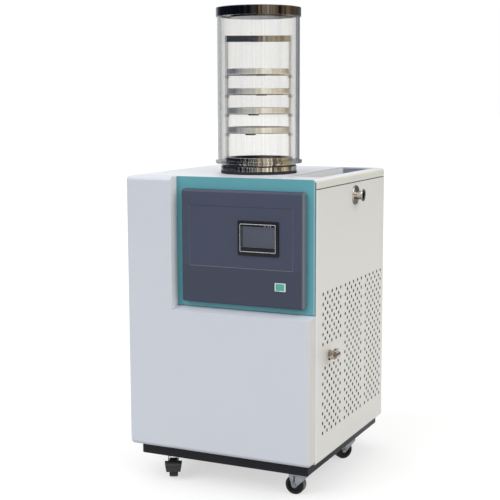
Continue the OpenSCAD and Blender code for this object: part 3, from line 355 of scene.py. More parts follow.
def grooveZones(colour, low, upright):
    # the four sides of the outline engraved round the console's field: painted shade along its top, painted light
    # along its bottom and sides
    wide = overlay["groove"]/2
    sides = [(overlayLow[0], overlayLow[0], overlayLow[1], overlayHigh[1]),
             (overlayHigh[0], overlayHigh[0], overlayLow[1], overlayHigh[1]),
             (overlayLow[0], overlayHigh[0], overlayLow[1], overlayLow[1]),
             (overlayLow[0], overlayHigh[0], overlayHigh[1], overlayHigh[1])]
    return [{"low": (left - wide, None, bottom - wide), "high": (right + wide, None, top + wide),
             "colour": colour if bottom == top == overlayHigh[1] else low if bottom == top else upright}
            for left, right, bottom, top in sides]


skins = {
    "frontMoulding": {"on": ["front_bezel"], "colour": shade(203, 207, 217), "second": shade(207, 211, 220),
                      "wearAndHighlight": shade(240, 242, 246), "grain": 900.0, "bump": 0.12, "rough": (0.34, 0.46), "wearAndHighlightShare": 0.45,
                      # painted warm light on the faces that turn to the right-hand lamp
                      "zones": [{"toward": (1, 0, 0), "low": (cabinetRight - seam["warmSide"], None, None),
                                 "colour": shade(214, 212, 207)},
                                # painted light on the recess wall that faces right
                                {"toward": (1, 0, 0), "high": (cabinetRight - seam["warmSide"], None, None),
                                 "colour": shade(238, 238, 241)}]},
    "topCover": {"on": ["top_cover"], "colour": shade(220, 222, 228), "second": shade(225, 227, 232),
                 "wearAndHighlight": shade(240, 241, 243), "grain": 900.0, "bump": 0.12, "rough": (0.32, 0.44),
                 # painted warm light on the faces that turn to the right-hand lamp
                 "zones": [{"toward": (1, 0, 0), "low": (cabinetRight - seam["warmSide"], None, None),
                            "colour": shade(226, 226, 216)},
                           # painted shade on the pocket's rear wall, painted light on its left wall
                           dict(pocketZone, toward=(0, -1, 0), colour=shade(146, 154, 172)),
                           dict(pocketZone, toward=(1, 0, 0), colour=shade(246, 247, 250)),
                           # painted shade in the seam between the cover and the side panels
                           {"high": (None, None, panelHigh.z + seam["cover"]), "colour": shade(84, 80, 70)}]},
    "sidePaint": {"on": ["left_side_panel", "right_side_panel", "rear_panel"],
                  "colour": shade(225, 224, 219), "second": shade(229, 228, 224), "wearAndHighlight": shade(237, 236, 234),
                  "grain": 1500.0, "bump": 0.22, "rough": (0.42, 0.55), "edge": 0.0034,
                  # painted shade round the vent holes, standing in for the shade inside them
                  "rimShade": {"low": (None, vented["front"], vented["low"]),
                           "high": (None, panelHigh.y - seam["fold"], vented["high"]), "colour": shade(40, 39, 36)},
                  "zones": [{"low": (cabinetRight - seam["cover"], None, None),
                             "high": (None, panelLow.y + seam["strip"], None), "colour": shade(233, 236, 236)},
                            # painted shade in the seam under the cover
                            {"low": (None, None, panelHigh.z - seam["cover"]), "colour": shade(84, 80, 70)},
                            # painted shade on the inner faces behind the vents, where the inside of the cabinet lies
                            # in shade
                            {"low": (leftLow.x + seam["skin"], vented["front"], vented["low"]),
                             "high": (cabinetRight - seam["skin"], vented["rear"], vented["high"]),
                             "colour": shade(26, 25, 24)}]},
    "accentMoulding": {"on": ["accent_panel"], "colour": shade(89, 158, 169), "second": shade(94, 163, 174),
                       "wearAndHighlight": shade(150, 196, 202), "grain": 900.0, "bump": 0.12, "rough": (0.3, 0.42),
                       # painted highlight along the right edge; painted shade in the seam at its very edge and along
                       # its bottom
                       "zones": [{"low": (accentHigh.x - seam["accentRim"], None, None),
                                  "colour": shade(136, 184, 190)},
                                 {"low": (accentHigh.x - seam["accent"], None, None), "colour": shade(88, 118, 120)},
                                 {"high": (None, None, accentLow.z + 2*seam["accent"]),
                                  "colour": shade(70, 110, 118)}]},
    "consoleMoulding": {"on": ["console_panel"], "colour": shade(60, 66, 87), "second": shade(64, 70, 91),
                        "wearAndHighlight": shade(100, 107, 122), "grain": 1400.0, "bump": 0.3, "rough": (0.45, 0.58),
                        "wearAndHighlightShare": 0.5, "specular": 0.4,
                        "zones": [{"high": (None, None, overlayLow[1]), "colour": shade(57, 63, 81)},
                                  # painted light on the console's right side; the groove outline below carries painted
                                  # shade and painted light
                                  {"toward": (1, 0, 0), "colour": shade(112, 118, 126)}]
                        + grooveZones(shade(46, 50, 66), shade(100, 108, 124), shade(90, 97, 113))},
    "screenFrame": {"on": ["screen_housing"], "colour": shade(8, 9, 15), "second": shade(11, 12, 19),
                    "wearAndHighlight": shade(60, 62, 72), "grain": 1800.0, "bump": 0.08, "rough": (0.16, 0.26), "edge": 0.0006,
                    "specular": 0.3},
    "switchFrame": {"on": ["switch_frame"], "colour": shade(196, 222, 222), "second": shade(204, 227, 226),
                    "wearAndHighlight": shade(236, 242, 240), "grain": 900.0, "bump": 0.08, "rough": (0.25, 0.35),
                    "edge": 0.0006},
    "basePan": {"on": ["plinth"], "colour": shade(10, 11, 20), "second": shade(17, 18, 27),
                "wearAndHighlight": shade(58, 59, 68), "grain": 1200.0, "bump": 0.25, "rough": (0.42, 0.56), "specular": 0.28},
    "gasketRubber": {"on": ["base_gasket", "foot_gasket", "compressor_feet"], "colour": shade(17, 17, 19),
                     "second": shade(22, 22, 24), "wearAndHighlight": shade(44, 44, 46), "grain": 700.0, "bump": 0.3,
                     "rough": (0.6, 0.75)},
    "paleSilicone": {"on": ["lid_gasket", "drain_line"], "colour": shade(206, 205, 200),
                     "second": shade(212, 211, 206), "wearAndHighlight": shade(222, 221, 217), "grain": 500.0, "bump": 0.1,
                     "rough": (0.4, 0.5)},
    "foamJacket": {"on": ["trap_jacket"], "colour": shade(38, 40, 45), "second": shade(46, 48, 53),
                   "wearAndHighlight": shade(60, 62, 66), "grain": 260.0, "bump": 0.6, "rough": (0.8, 0.92)},
    "shellPaint": {"on": ["compressor", "fan_shroud"], "colour": shade(26, 26, 29), "second": shade(31, 31, 34),
                   "wearAndHighlight": shade(80, 80, 84), "grain": 600.0, "bump": 0.2, "rough": (0.25, 0.38)},
    "motorPaint": {"on": ["fan_motor"], "colour": shade(62, 64, 68), "second": shade(68, 70, 74),
                   "wearAndHighlight": shade(120, 122, 126), "grain": 800.0, "bump": 0.3, "rough": (0.45, 0.6)},
    "inletPlastic": {"on": ["power_inlet"], "colour": shade(24, 24, 27), "second": shade(28, 28, 31),
                     "wearAndHighlight": shade(60, 60, 64), "grain": 1500.0, "bump": 0.2, "rough": (0.4, 0.5), "edge": 0.0006},
    "brakePedal": {"on": ["castor_fl_brake"], "colour": shade(26, 27, 25), "second": shade(34, 34, 32),
                   "wearAndHighlight": shade(80, 80, 76), "grain": 1100.0, "bump": 0.3, "rough": (0.3, 0.42), "edge": 0.0008},
}
trays = ["tray_1", "tray_2", "tray_3", "tray_4"]
corners = ("fl", "fr", "rl", "rr")
tabBand = 0.0044  # height of a tray's tab over its underside


def trayShadeBands(colour, drop=0.0):
    # level bands of painted shade at the undersides of the trays, over the tabs and the collars below them
    undersides = [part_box(tray)[0].z for tray in trays]
    return [{"low": (None, None, z - drop), "high": (None, None, z + tabBand), "colour": colour} for z in undersides]


metals = {
    "lineSteel": {"on": ["vacuum_line"], "colour": shade(206, 202, 194), "second": shade(188, 183, 174),
                  "lines": 130.0, "stretch": (22, 1, 1), "rough": (0.1, 0.22), "bump": 0.12},
    "rodSteel": {"on": ["rack_rods"], "colour": shade(224, 223, 221), "second": shade(210, 209, 207),
                 "lines": 90.0, "stretch": (1, 1, 14), "rough": (0.3, 0.42), "bump": 0.1,
                 "zones": trayShadeBands(shade(176, 170, 160), drop=0.0062)},
    "valveNickel": {"on": ["drain_valve", "drain_lever"], "colour": shade(188, 176, 164),
                    "second": shade(158, 146, 134), "lines": 300.0, "rough": (0.14, 0.26), "bump": 0.12},
    "innerSteel": {"on": ["cabinet_floor", "control_box", "post_front_left", "post_front_right",
                          "post_rear_left", "post_rear_right"], "colour": shade(120, 122, 125),
                   "second": shade(98, 100, 104), "lines": 40.0, "rough": (0.3, 0.48), "bump": 0.1},
    "finBlack": {"on": ["condenser"], "colour": shade(72, 74, 78), "second": shade(54, 56, 60),
                 "lines": 500.0, "stretch": (0.1, 8, 0.1), "rough": (0.35, 0.5), "bump": 0.8},
    "finAluminium": {"on": ["fan_blades"], "colour": shade(200, 202, 205),
                     "second": shade(180, 182, 186), "lines": 500.0, "stretch": (0.1, 8, 0.1), "rough": (0.3, 0.45),
                     "bump": 0.8},
    "bareCopper": {"on": ["filter_drier", "refrigerant_lines"], "colour": shade(206, 138, 104),
                   "second": shade(176, 104, 72), "lines": 80.0, "rough": (0.22, 0.4), "bump": 0.15},
    "castorZinc": {"on": ["castor_%s_%s" % (corner, part) for corner in corners for part in ("plate", "fork")],
                   "colour": shade(168, 172, 176), "second": shade(92, 96, 102), "lines": 420.0,
                   "rough": (0.2, 0.42), "bump": 0.3},
}
made = {}


def finish(name, material, on):
    # a material on every solid that it belongs to
    made[name] = material
    for node in on:
        nodes[node].data.materials.clear()
        nodes[node].data.materials.append(material)


for name, look in skins.items():
    finish(name, skin(name, look), look["on"])
for name, look in metals.items():
    finish(name, metal(name, look), look["on"])

tubeLook = {"colour": shade(252, 252, 252), "line": shade(246, 246, 244), "ior": 1.49, "rough": (0.0, 0.02),
            "span": (0.45, 0.8), "shadow": (0.93, 0.94, 0.95, 1), "tint": shade(200, 206, 207), "density": 2.7,
            "streaks": 22.0, "rougher": 0.6, "contrast": (0.38, 0.62), "wave": 0.12, "depth": 0.002,
            "grain": 30.0, "mottle": 3.0}
finish("clearAcrylic", clearWall("clearAcrylic", tubeLook), ["chamber_tube"])

treadLook = {"colour": shade(9, 9, 10), "second": shade(17, 17, 18), "wearAndHighlight": shade(50, 49, 47), "grain": 500.0,
             "bump": 0.35, "rough": (0.42, 0.6), "wearAndHighlightShare": 0.4, "edge": 0.0015, "specular": 0.3,
             "dust": {"fl": 0.12, "fr": 1.0, "rl": 0.6, "rr": 0.25}, "treadDepth": (0.0012, 0.0002),
             "dusty": (shade(62, 57, 50), shade(132, 122, 106)), "dustScale": 160.0}


def rollingDust(corner, joint):
    # rubber wheel: black web, and a dusty brown tread where it rolls
    look = treadLook
    material = skin("castorTread_" + corner, look)
    tree = material.node_tree
    low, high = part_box("castor_%s_wheel" % corner)
    outward = put(tree, "VectorMath", {0: place(tree), 1: (low + high)/2}, operation="SUBTRACT").outputs[0]
    axle = Vector(joint["axis"]).normalized()
    along = put(tree, "VectorMath", {0: outward, 1: axle}, operation="DOT_PRODUCT").outputs["Value"]
    far = put(tree, "VectorMath", {0: outward}, operation="LENGTH").outputs["Value"]
    radius = maths(tree, "SQRT", maths(tree, "SUBTRACT", maths(tree, "POWER", far, 2.0),
                                       maths(tree, "POWER", maths(tree, "ABSOLUTE", along), 2.0)))
    rim = (high.z - low.z)/2
    rolls = remap(tree, radius, [rim - depth for depth in look["treadDepth"]], (0.0, look["dust"][corner]))
    mottle = put(tree, "TexNoise", {"Vector": place(tree), "Scale": look["dustScale"], "Detail": 3.0})
    paintOver(material, rolls, mixColours(tree, mottle.outputs["Fac"], *look["dusty"]))
    return material


rollJoints = {row["child"]: row for row in frame["joints"]}
for corner in corners:
    name = "castorTread_" + corner
    finish(name, rollingDust(corner, rollJoints["castor_%s_roll" % corner]), ["castor_%s_wheel" % corner])


def softPlastic(name, look):
    # small smooth plastic part with a fine mottle, and a faint painted glow where its look asks for one
    material, tree, surface, _ = newMaterial(name)
    grain = useGroup(tree, "grain", {"Vector": place(tree), "Scale": look["grain"], "Mottle Scale": look["mottle"]})
    tree.links.new(mixColours(tree, grain.outputs["Mottle"], look["colour"], look["second"]),
                   surface.inputs["Base Color"])
    roughen(tree, surface, grain.outputs["Mottle"], look["rough"])
    surface.inputs["Emission Color"].default_value = look.get("glow", (1, 1, 1, 1))
    surface.inputs["Emission Strength"].default_value = look.get("strength", 0.0)
    return material


# the rocker's faint emission is a painted glow that lifts its green
rockerLook = {"colour": shade(96, 168, 154), "second": shade(72, 148, 134), "grain": 700.0, "mottle": 60.0,
              "rough": (0.18, 0.3), "glow": shade(80, 170, 150), "strength": 0.08}
finish("rockerGreen", softPlastic("rockerGreen", rockerLook), ["switch_rocker"])

displayLook = {"low": shade(52, 59, 78), "high": shade(60, 65, 84), "right": shade(66, 76, 94), "rightShare": 0.25,
               "grain": 30.0, "rough": (0.12, 0.24), "coat": 0.4}


def dimDisplay(look):
    # touch screen at rest: a dim grey-blue field, paler upwards and to the right
    material, tree, surface, _ = newMaterial("dimDisplay")
    low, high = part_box("screen_glass")
    where = axes(tree)
    up = remap(tree, where["Z"], (low.z, high.z))
    across = remap(tree, where["X"], (low.x, high.x))
    field = mixColours(tree, up, look["low"], look["high"])
    field = mixColours(tree, maths(tree, "MULTIPLY", across, look["rightShare"]), field, look["right"])
    tree.links.new(field, surface.inputs["Base Color"])
    fine = put(tree, "TexNoise", {"Vector": place(tree), "Scale": look["grain"], "Detail": 2.0})
    roughen(tree, surface, fine.outputs["Fac"], look["rough"])
    surface.inputs["Coat Weight"].default_value = look["coat"]
    return material


finish("dimDisplay", dimDisplay(displayLook), ["screen_glass"])

steelUsual = {"rougher": 0.7, "contrast": (0.35, 0.65), "edge": 0.0008, "patches": 9.0}


def reflectionPaintedSteel(name, look):
    # polished part with a painted reflection of the room: two tones of upright streaks, split at a share of its width
    look = {**steelUsual, **look}
    material, tree, surface, _ = newMaterial(name)
    low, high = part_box(look["on"][0])
    share = remap(tree, axes(tree)["X"], (low.x, high.x))
    streaks = uprightLines(tree, share, look)
    strength = remap(tree, streaks, look["contrast"])
    dark, warm = mixColours(tree, strength, *look["dark"]), mixColours(tree, strength, *look["warm"])
    split = remap(tree, share, (look["split"] - look["fade"], look["split"] + look["fade"]), ease="SMOOTHSTEP")
    tree.links.new(paintZones(tree, mixColours(tree, split, dark, warm), look), surface.inputs["Base Color"])
    surface.inputs["Metallic"].default_value = 1.0
    edge = edgeMaskFor(tree, place(tree), look)
    roughen(tree, surface, streaks, look["rough"])
    tree.links.new(edge.outputs["Normal"], surface.inputs["Normal"])
    return material


# dark and warm streaks: painted reflections of the room on the polished steel
paintedReflections = {
    "barSteel": {"on": ["rack_top"], "dark": (shade(74, 80, 98), shade(104, 108, 122)), "split": 0.53, "fade": 0.06,
                 "streaks": 26.0, "warm": (shade(96, 90, 82), shade(226, 218, 204)), "rough": (0.1, 0.25)},
    "trapSteel": {"on": ["cold_trap"], "dark": (shade(44, 46, 58), shade(92, 95, 106)), "split": 0.42, "fade": 0.1,
                  "streaks": 34.0, "warm": (shade(60, 52, 44), shade(250, 243, 228)), "rough": (0.08, 0.2)},
    "baseSteel": {"on": ["rack_base"], "dark": (shade(38, 41, 54), shade(86, 89, 100)), "split": 0.46, "fade": 0.1,
                  "streaks": 30.0, "warm": (shade(54, 47, 40), shade(246, 238, 220)), "rough": (0.08, 0.2)},
    "lidChrome": {"on": ["chamber_lid"], "dark": (shade(26, 27, 32), shade(84, 88, 104)), "split": 0.52, "fade": 0.12,
                  "streaks": 24.0, "warm": (shade(60, 54, 50), shade(134, 124, 114)), "rough": (0.05, 0.14),
                  # painted reflection on the lid's top face
                  "zones": [{"toward": (0, 0, 1), "colour": shade(104, 104, 108)}]},
    "traySteel": {"on": trays, "dark": (shade(176, 180, 184), shade(208, 209, 210)), "split": 0.42,
                  "fade": 0.2, "streaks": 20.0, "warm": (shade(228, 224, 214), shade(250, 245, 232)),
                  "rough": (0.32, 0.46), "zones": trayShadeBands(shade(92, 86, 76))},
}
for name, look in paintedReflections.items():
    finish(name, reflectionPaintedSteel(name, look), look["on"])

portLook = {"colour": shade(222, 217, 208), "second": shade(204, 198, 188), "lines": 130.0, "stretch": (22, 1, 1),
            "rough": (0.1, 0.22), "bump": 0.12, "lean": 0.25, "fan": (0.35, 0.85), "reflectionFanShare": 0.85,
            "dark": shade(74, 64, 50)}


def turnedPort(look):
    # turned flange: a painted reflection of two bright and two dark fans round its axis, as a lathe-turned face shows
    # them
    material = metal("portSteel", look)
    tree = material.node_tree
    turn = maths(tree, "ADD", turnAround(tree, "vacuum_port", "Z", "Y"), look["lean"])
    fan = maths(tree, "ABSOLUTE", maths(tree, "SINE", turn))
    paintOver(material, remap(tree, fan, look["fan"], (0.0, look["reflectionFanShare"])), look["dark"])
    return material


finish("portSteel", turnedPort(portLook), ["vacuum_port"])
bare = sorted(n for n in nodes if not nodes[n].data.materials or nodes[n].data.materials[0] not in made.values())
print("finishes made:", len(made), "left bare:", bare)


def addPiece(name, mesh, material, body):
    piece = bpy.data.objects.new(name, mesh)
    scene.collection.objects.link(piece)
    mesh.materials.clear()
    mesh.materials.append(made[material])
    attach(piece, body)
    return piece


def polygon(radius, sides):
    return [(radius*math.cos(2*math.pi*i/sides), radius*math.sin(2*math.pi*i/sides)) for i in range(sides)]


def roundedOutline(left, right, bottom, top, radius, steps=6):
    # corners of a rectangle with round corners, counter-clockwise
    points = []
    for x, y, start in ((right - radius, top - radius, 0), (left + radius, top - radius, 90),
                        (left + radius, bottom + radius, 180), (right - radius, bottom + radius, 270)):
        for i in range(steps + 1):
            angle = math.radians(start + 90*i/steps)
            points.append((x + radius*math.cos(angle), y + radius*math.sin(angle)))
    return points


smoothBelow = 35  # degrees between faces that shade as one


def closedMesh(name, points, faces):
    # a mesh whose faces all look outwards
    mesh = bpy.data.meshes.new(name)
    mesh.from_pydata(points, [], faces)
    work = bmesh.new()
    work.from_mesh(mesh)
    bmesh.ops.recalc_face_normals(work, faces=work.faces)
    work.to_mesh(mesh)
    work.free()
    return mesh


def stackedRings(name, rings, capped=True):
    # a skin over rings of equal count, closed at both ends or back onto its first ring
    count = len(rings[0])
    points = [point for ring in rings for point in ring]
    faces = []
    spans = len(rings) - 1 if capped else len(rings)
    for level in range(spans):
        a, b = level*count, (level + 1) % len(rings)*count
        faces += [(a + i, a + (i + 1) % count, b + (i + 1) % count, b + i) for i in range(count)]
    if capped:
        faces += [tuple(reversed(range(count))), tuple(range(len(points) - count, len(points)))]
    mesh = closedMesh(name, points, faces)
    mesh.polygons.foreach_set("use_smooth", [True]*len(mesh.polygons))
    mesh.set_sharp_from_angle(angle=math.radians(smoothBelow))
    return mesh


# base pan: folded tray under the cabinet, its front wall a little ahead of the panels
panLook = {"sides": 0.002, "front": 0.005, "corner": 0.006, "fold": 0.0014, "wall": 0.003, "floor": 0.011,
           "under": 0.0002}
low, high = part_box("plinth")
panProfile = [(panLook["fold"], low.z), (0, low.z + panLook["fold"]), (0, high.z - panLook["under"]),
              (panLook["wall"], high.z - panLook["under"]), (panLook["wall"], low.z + panLook["floor"])]
panRings = []
for inset, z in panProfile:
    ring = roundedOutline(low.x - panLook["sides"] + inset, high.x + panLook["sides"] - inset,
                          low.y - panLook["front"] + inset, high.y - inset, panLook["corner"])
    panRings.append([(x, y, z) for x, y in ring])
pan = addPiece("panShell", stackedRings("panShell", panRings), "basePan", "cabinet")
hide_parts("plinth")


# folded screens behind the three groups of vent holes on either side, open round the drain valve: near-black sheets
# that stand in for the shade inside the cabinet
ventLook = {"groups": 3, "rear": 0.305, "column": 0.0191, "columns": 9, "strip": 0.0237, "low": 0.2006,
            "row": 0.0158, "rows": 28, "besideValve": (13, 18), "margin": 0.0055, "gap": 0.0015, "depth": 0.003,
            "sheet": 0.0006, "folds": 56, "fewest": 6, "panelSheet": 0.0015}


def ventPatches(aroundValve):
    # rear, front, bottom and top edge of each patch of screen
    look, patches = ventLook, []
    width, margin = look["column"]*(look["columns"] - 1), look["margin"]
    bottom, top = look["low"] - margin, look["low"] + look["row"]*look["rows"] + margin
    underValve, overValve = (look["low"] + look["row"]*row for row in look["besideValve"])
    for number in range(look["groups"]):
        rear = look["rear"] - number*(look["columns"]*look["column"] + look["strip"])
        last = aroundValve and number == look["groups"] - 1
        for low, high in ((bottom, underValve + margin), (overValve - margin, top)) if last else ((bottom, top),):
            patches.append((rear + margin, rear - width - margin, low, high))
    return patches


def foldedScreen(name, face, inward, patches):
    # zigzag sheets, each drawn from its rear edge to its front edge
    look, points, faces = ventLook, [], []
    for rear, front, bottom, top in patches:
        count = max(look["fewest"], int(look["folds"]*(top - bottom)/(look["row"]*look["rows"])))
        line = [(face + inward*(look["gap"] + (look["depth"] if i % 2 else 0)), bottom + (top - bottom)*i/count)
                for i in range(count + 1)]
        outline = line + [(x + inward*look["sheet"], z) for x, z in reversed(line)]
        start, ring = len(points), len(outline)
        points += [(x, y, z) for y in (rear, front) for x, z in outline]
        faces += [(start + i, start + (i + 1) % ring, start + ring + (i + 1) % ring, start + ring + i)
                  for i in range(ring)]
        for first in (start, start + ring):
            faces += [(first + i, first + i + 1, first + ring - 2 - i, first + ring - 1 - i) for i in range(count)]
    addPiece(name, closedMesh(name, points, faces), "ventShadeCloth", "cabinet")


# near-black cloth: painted shade behind the vent holes
made["ventShadeCloth"] = skin("ventShadeCloth", {"colour": shade(16, 16, 17), "second": shade(24, 24, 25),
                                           "wearAndHighlight": shade(40, 40, 42), "grain": 900.0, "bump": 0.5,
                                           "rough": (0.8, 0.95), "specular": 0.1})
foldedScreen("ventShadeScreenRight", panelHigh.x - ventLook["panelSheet"], -1, ventPatches(True))
foldedScreen("ventShadeScreenLeft", leftLow.x + ventLook["panelSheet"], 1, ventPatches(False))


# screen: a bright line let into the housing, a finer one round the glass, and three status lenses
def flatTrim(name, edges, look, material):
    # a thin frame that stands on the housing's face
    left, right, bottom, top = edges
    wide, soft, front = look["width"], look["proud"]/2, houseLow.y

    def inset(by, corner):
        return roundedOutline(left + by, right - by, bottom + by, top - by, corner)
    within = max(look["corner"] - wide, look["sharpest"])
    outer, outerTop = inset(0, look["corner"]), inset(soft, look["corner"])
    inner, innerTop = inset(wide, within), inset(wide - soft, within)
    back, shoulder, face = front + look["sunk"], front - soft, front - look["proud"]
    rings = [[(x, y, z) for x, z in ring] for ring, y in
             ((outer, back), (outer, shoulder), (outerTop, face), (innerTop, face), (inner, shoulder), (inner, back))]
    addPiece(name, stackedRings(name, rings, capped=False), material, "cabinet")


made["satinTrim"] = metal("satinTrim", {"colour": shade(214, 217, 224), "second": shade(190, 194, 202), "lines": 240.0,
                                        "stretch": (1, 1, 6), "rough": (0.3, 0.42), "bump": 0.08})
houseLow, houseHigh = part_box("screen_housing")
glassLow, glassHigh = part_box("screen_glass")
lineLook = {"corner": 0.0025, "sharpest": 0.0004, "width": 0.0019, "proud": 0.0005, "sunk": 0.0006,
            "left": 0.0068, "right": 0.0095, "below": 0.0108, "above": 0.0092}
flatTrim("screenLine", (houseLow.x + lineLook["left"], houseHigh.x - lineLook["right"],
                        houseLow.z + lineLook["below"], houseHigh.z - lineLook["above"]), lineLook, "satinTrim")
glassLook = {"corner": 0.0012, "sharpest": 0.0004, "width": 0.0010, "proud": 0.0003, "sunk": 0.0004, "round": 0.0012}
made["glassTrim"] = metal("glassTrim", {"colour": shade(128, 132, 142), "second": shade(110, 114, 124),
                                        "lines": 240.0, "stretch": (1, 1, 6), "rough": (0.3, 0.42), "bump": 0.08})
around = glassLook["round"]
flatTrim("glassLine", (glassLow.x - around, glassHigh.x + around, glassLow.z - around, glassHigh.z + around),
         glassLook, "glassTrim")

lensLook = {"colour": shade(196, 200, 208), "second": shade(160, 166, 178), "grain": 900.0, "mottle": 400.0,
            "rough": (0.1, 0.25), "radius": 0.0015, "proud": 0.0006, "sunk": 0.0004, "rings": 6, "sides": 20,
            "along": (0.72, 0.83, 0.90), "above": 0.0045}
made["lensGlow"] = softPlastic("lensGlow", lensLook)


def lens(name, x, z, look):
    # a small domed lens on the housing's face
    rings = []
    for step in range(look["rings"]):
        angle = math.radians(90*step/look["rings"])
        radius, y = look["radius"]*math.cos(angle), houseLow.y - look["proud"]*math.sin(angle)
        rings.append([(x + px, y, z + pz) for px, pz in polygon(radius, look["sides"])])
    rings.insert(0, [(px, houseLow.y + look["sunk"], pz) for px, _, pz in rings[0]])
    addPiece(name, stackedRings(name, rings), "lensGlow", "cabinet")


for number, share in enumerate(lensLook["along"], 1):
    lens("statusLens%d" % number, glassLow.x + share*(glassHigh.x - glassLow.x), glassHigh.z + lensLook["above"],
         lensLook)


# forks of the plain castors: one pressed sheet with a wide crown, slotted cheeks, axle and nuts
def pressedSheet(outline, holes, thick, bevel):
    # a sheet cut to an outline with holes, its edges eased, lying in its own XY plane
    curve = bpy.data.curves.new("sheetCut", "CURVE")
    curve.dimensions = "2D"
    curve.fill_mode = "BOTH"
    curve.extrude = thick/2 - bevel
    curve.bevel_depth = bevel
    curve.bevel_resolution = 1
    curve.offset = -bevel
    for path in [outline] + holes:
        spline = curve.splines.new("POLY")
        spline.points.add(len(path) - 1)
        for point, (x, y) in zip(spline.points, path):
            point.co = (x, y, 0, 1)
        spline.use_cyclic_u = True
    cutter = bpy.data.objects.new("sheetCut", curve)
    mesh = bpy.data.meshes.new_from_object(cutter)
    bpy.data.objects.remove(cutter)
    return mesh


def arc(x, y, radius, start, end, steps=12):
    return [(x + radius*math.cos(math.radians(start + (end - start)*i/steps)),
             y + radius*math.sin(math.radians(start + (end - start)*i/steps))) for i in range(steps + 1)]


def turnedBar(radius, length, chamfer, sides=24):
    # a chamfered round or hexagonal bar along Y, centred
    ends = ((radius - chamfer, -length/2), (radius, -length/2 + chamfer), (radius, length/2 - chamfer),
            (radius - chamfer, length/2))
    return stackedRings("turnedBar", [[(x, y, z) for x, z in polygon(r, sides)] for r, y in ends])


# metres ahead of or behind the kingpin, down from the fork's top and round the axle; arcs in degrees
forkLook = {"sheet": 0.002, "ease": 0.0003, "cheek": 0.0165, "trail": 0.024, "crownBack": 0.043,
            "crownFront": 0.018, "crownRound": 0.021, "crownArc": (62, -62, 16), "bow": 0.001, "kingpin": 0.0042,
            "pinArc": (0, 345, 23), "under": 0.0006, "shoulder": 0.002, "backSlope": (0.004, 0.009),
            "frontDrop": 0.008, "lug": 0.0092, "lugArc": (195, 330), "slot": 0.0042, "slotTop": 0.009,
            "slotLow": 0.0115, "axle": 0.004, "axleOver": 0.001, "axleChamfer": 0.0006, "nut": 0.0068,
            "nutLong": 0.003, "nutChamfer": 0.0005, "sharp": 30}


def plainFork(corner, joint):
    look = forkLook
    plateLow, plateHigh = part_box("castor_%s_plate" % corner)
    wheelLow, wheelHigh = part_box("castor_%s_wheel" % corner)
    axle, top = (wheelLow.z + wheelHigh.z)/2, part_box("castor_%s_fork" % corner)[1].z
    side = Vector(joint["axis"]).normalized()
    ahead = Vector((side.y, -side.x, 0))
    middle = Vector(((plateLow.x + plateHigh.x)/2, (plateLow.y + plateHigh.y)/2, 0))
    back, front, trail, slotWide = -look["crownBack"], look["crownFront"], -look["trail"], look["slot"]/2
    outside, under = look["cheek"] + look["sheet"]/2, top - look["under"]
    crown = arc(0, 0, look["crownRound"], *look["crownArc"]) + [(back, -outside), (back - look["bow"], 0),
                                                                (back, outside)]
    crownMesh = pressedSheet(crown, [arc(0, 0, look["kingpin"], *look["pinArc"])], look["sheet"], look["ease"])
    cheek = ([(front, under), (back + look["shoulder"], under), (back, top - look["backSlope"][0]),
              (back + look["bow"], top - look["backSlope"][1])]
             + arc(trail, axle, look["lug"], *look["lugArc"]) + [(front, top - look["frontDrop"])])
    slot = (arc(trail, top - look["slotTop"], slotWide, 0, 180, 8)
            + arc(trail, axle + look["slotLow"], slotWide, 180, 360, 8))
    cheekMesh = pressedSheet(cheek, [slot], look["sheet"], look["ease"])
    work = bmesh.new()

    def take(mesh, move, turn=Matrix()):
        mesh.transform(Matrix.Translation(move) @ turn)
        work.from_mesh(mesh)
    take(crownMesh, (0, 0, top - look["sheet"]/2))
    for sign in (-1, 1):
        take(cheekMesh.copy(), (0, sign*look["cheek"], 0), Matrix.Rotation(math.radians(90), 4, "X"))
    length = 2*(outside + look["nutLong"] + look["axleOver"])
    take(turnedBar(look["axle"], length, look["axleChamfer"]), (trail, 0, axle))
    for sign in (-1, 1):
        take(turnedBar(look["nut"], look["nutLong"], look["nutChamfer"], 6),
             (trail, sign*(outside + look["nutLong"]/2), axle))
    work.transform(Matrix.Translation(middle) @ Matrix((ahead, side, (0, 0, 1))).transposed().to_4x4())
    mesh = bpy.data.meshes.new("fork_" + corner)
    work.to_mesh(mesh)
    work.free()
    mesh.set_sharp_from_angle(angle=math.radians(look["sharp"]))
    fork = addPiece("forkSheet_" + corner, mesh, "castorZinc", "castor_%s_swivel" % corner)
    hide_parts("castor_%s_fork" % corner)


for corner in ("fr", "rl", "rr"):
    plainFork(corner, rollJoints["castor_%s_roll" % corner])
print("trim, pan and forks made")


# stage: floor, world, lamps, and dark studio walls that only metal and glass mirror
stageLook = {"half": 60.0, "floorColour": 0.42, "floorLift": 0.58, "ambient": 0.62}


def plainlySeen(tree):
    # 1 for what the viewer sees straight, in a mirror or through glass, 0 for what lights the part
    path = put(tree, "LightPath")
    return maths(tree, "MAXIMUM", path.outputs["Is Camera Ray"],
                 maths(tree, "MAXIMUM", path.outputs["Is Glossy Ray"], path.outputs["Is Transmission Ray"]))


scene.world = bpy.data.worlds.new("studio")
scene.world.use_nodes = True
tree = scene.world.node_tree
tree.nodes.clear()
level = remap(tree, plainlySeen(tree), to=(stageLook["ambient"], 1.0))
sky = put(tree, "Background", {"Color": (1, 1, 1, 1), "Strength": level})
tree.links.new(sky.outputs[0], put(tree, "OutputWorld").inputs["Surface"])


def stagePiece(name, corners, faces, material):
    mesh = bpy.data.meshes.new(name)
    mesh.from_pydata(corners, [], faces)
    mesh.materials.append(material)
    piece = bpy.data.objects.new(name, mesh)
    scene.collection.objects.link(piece)
    return piece


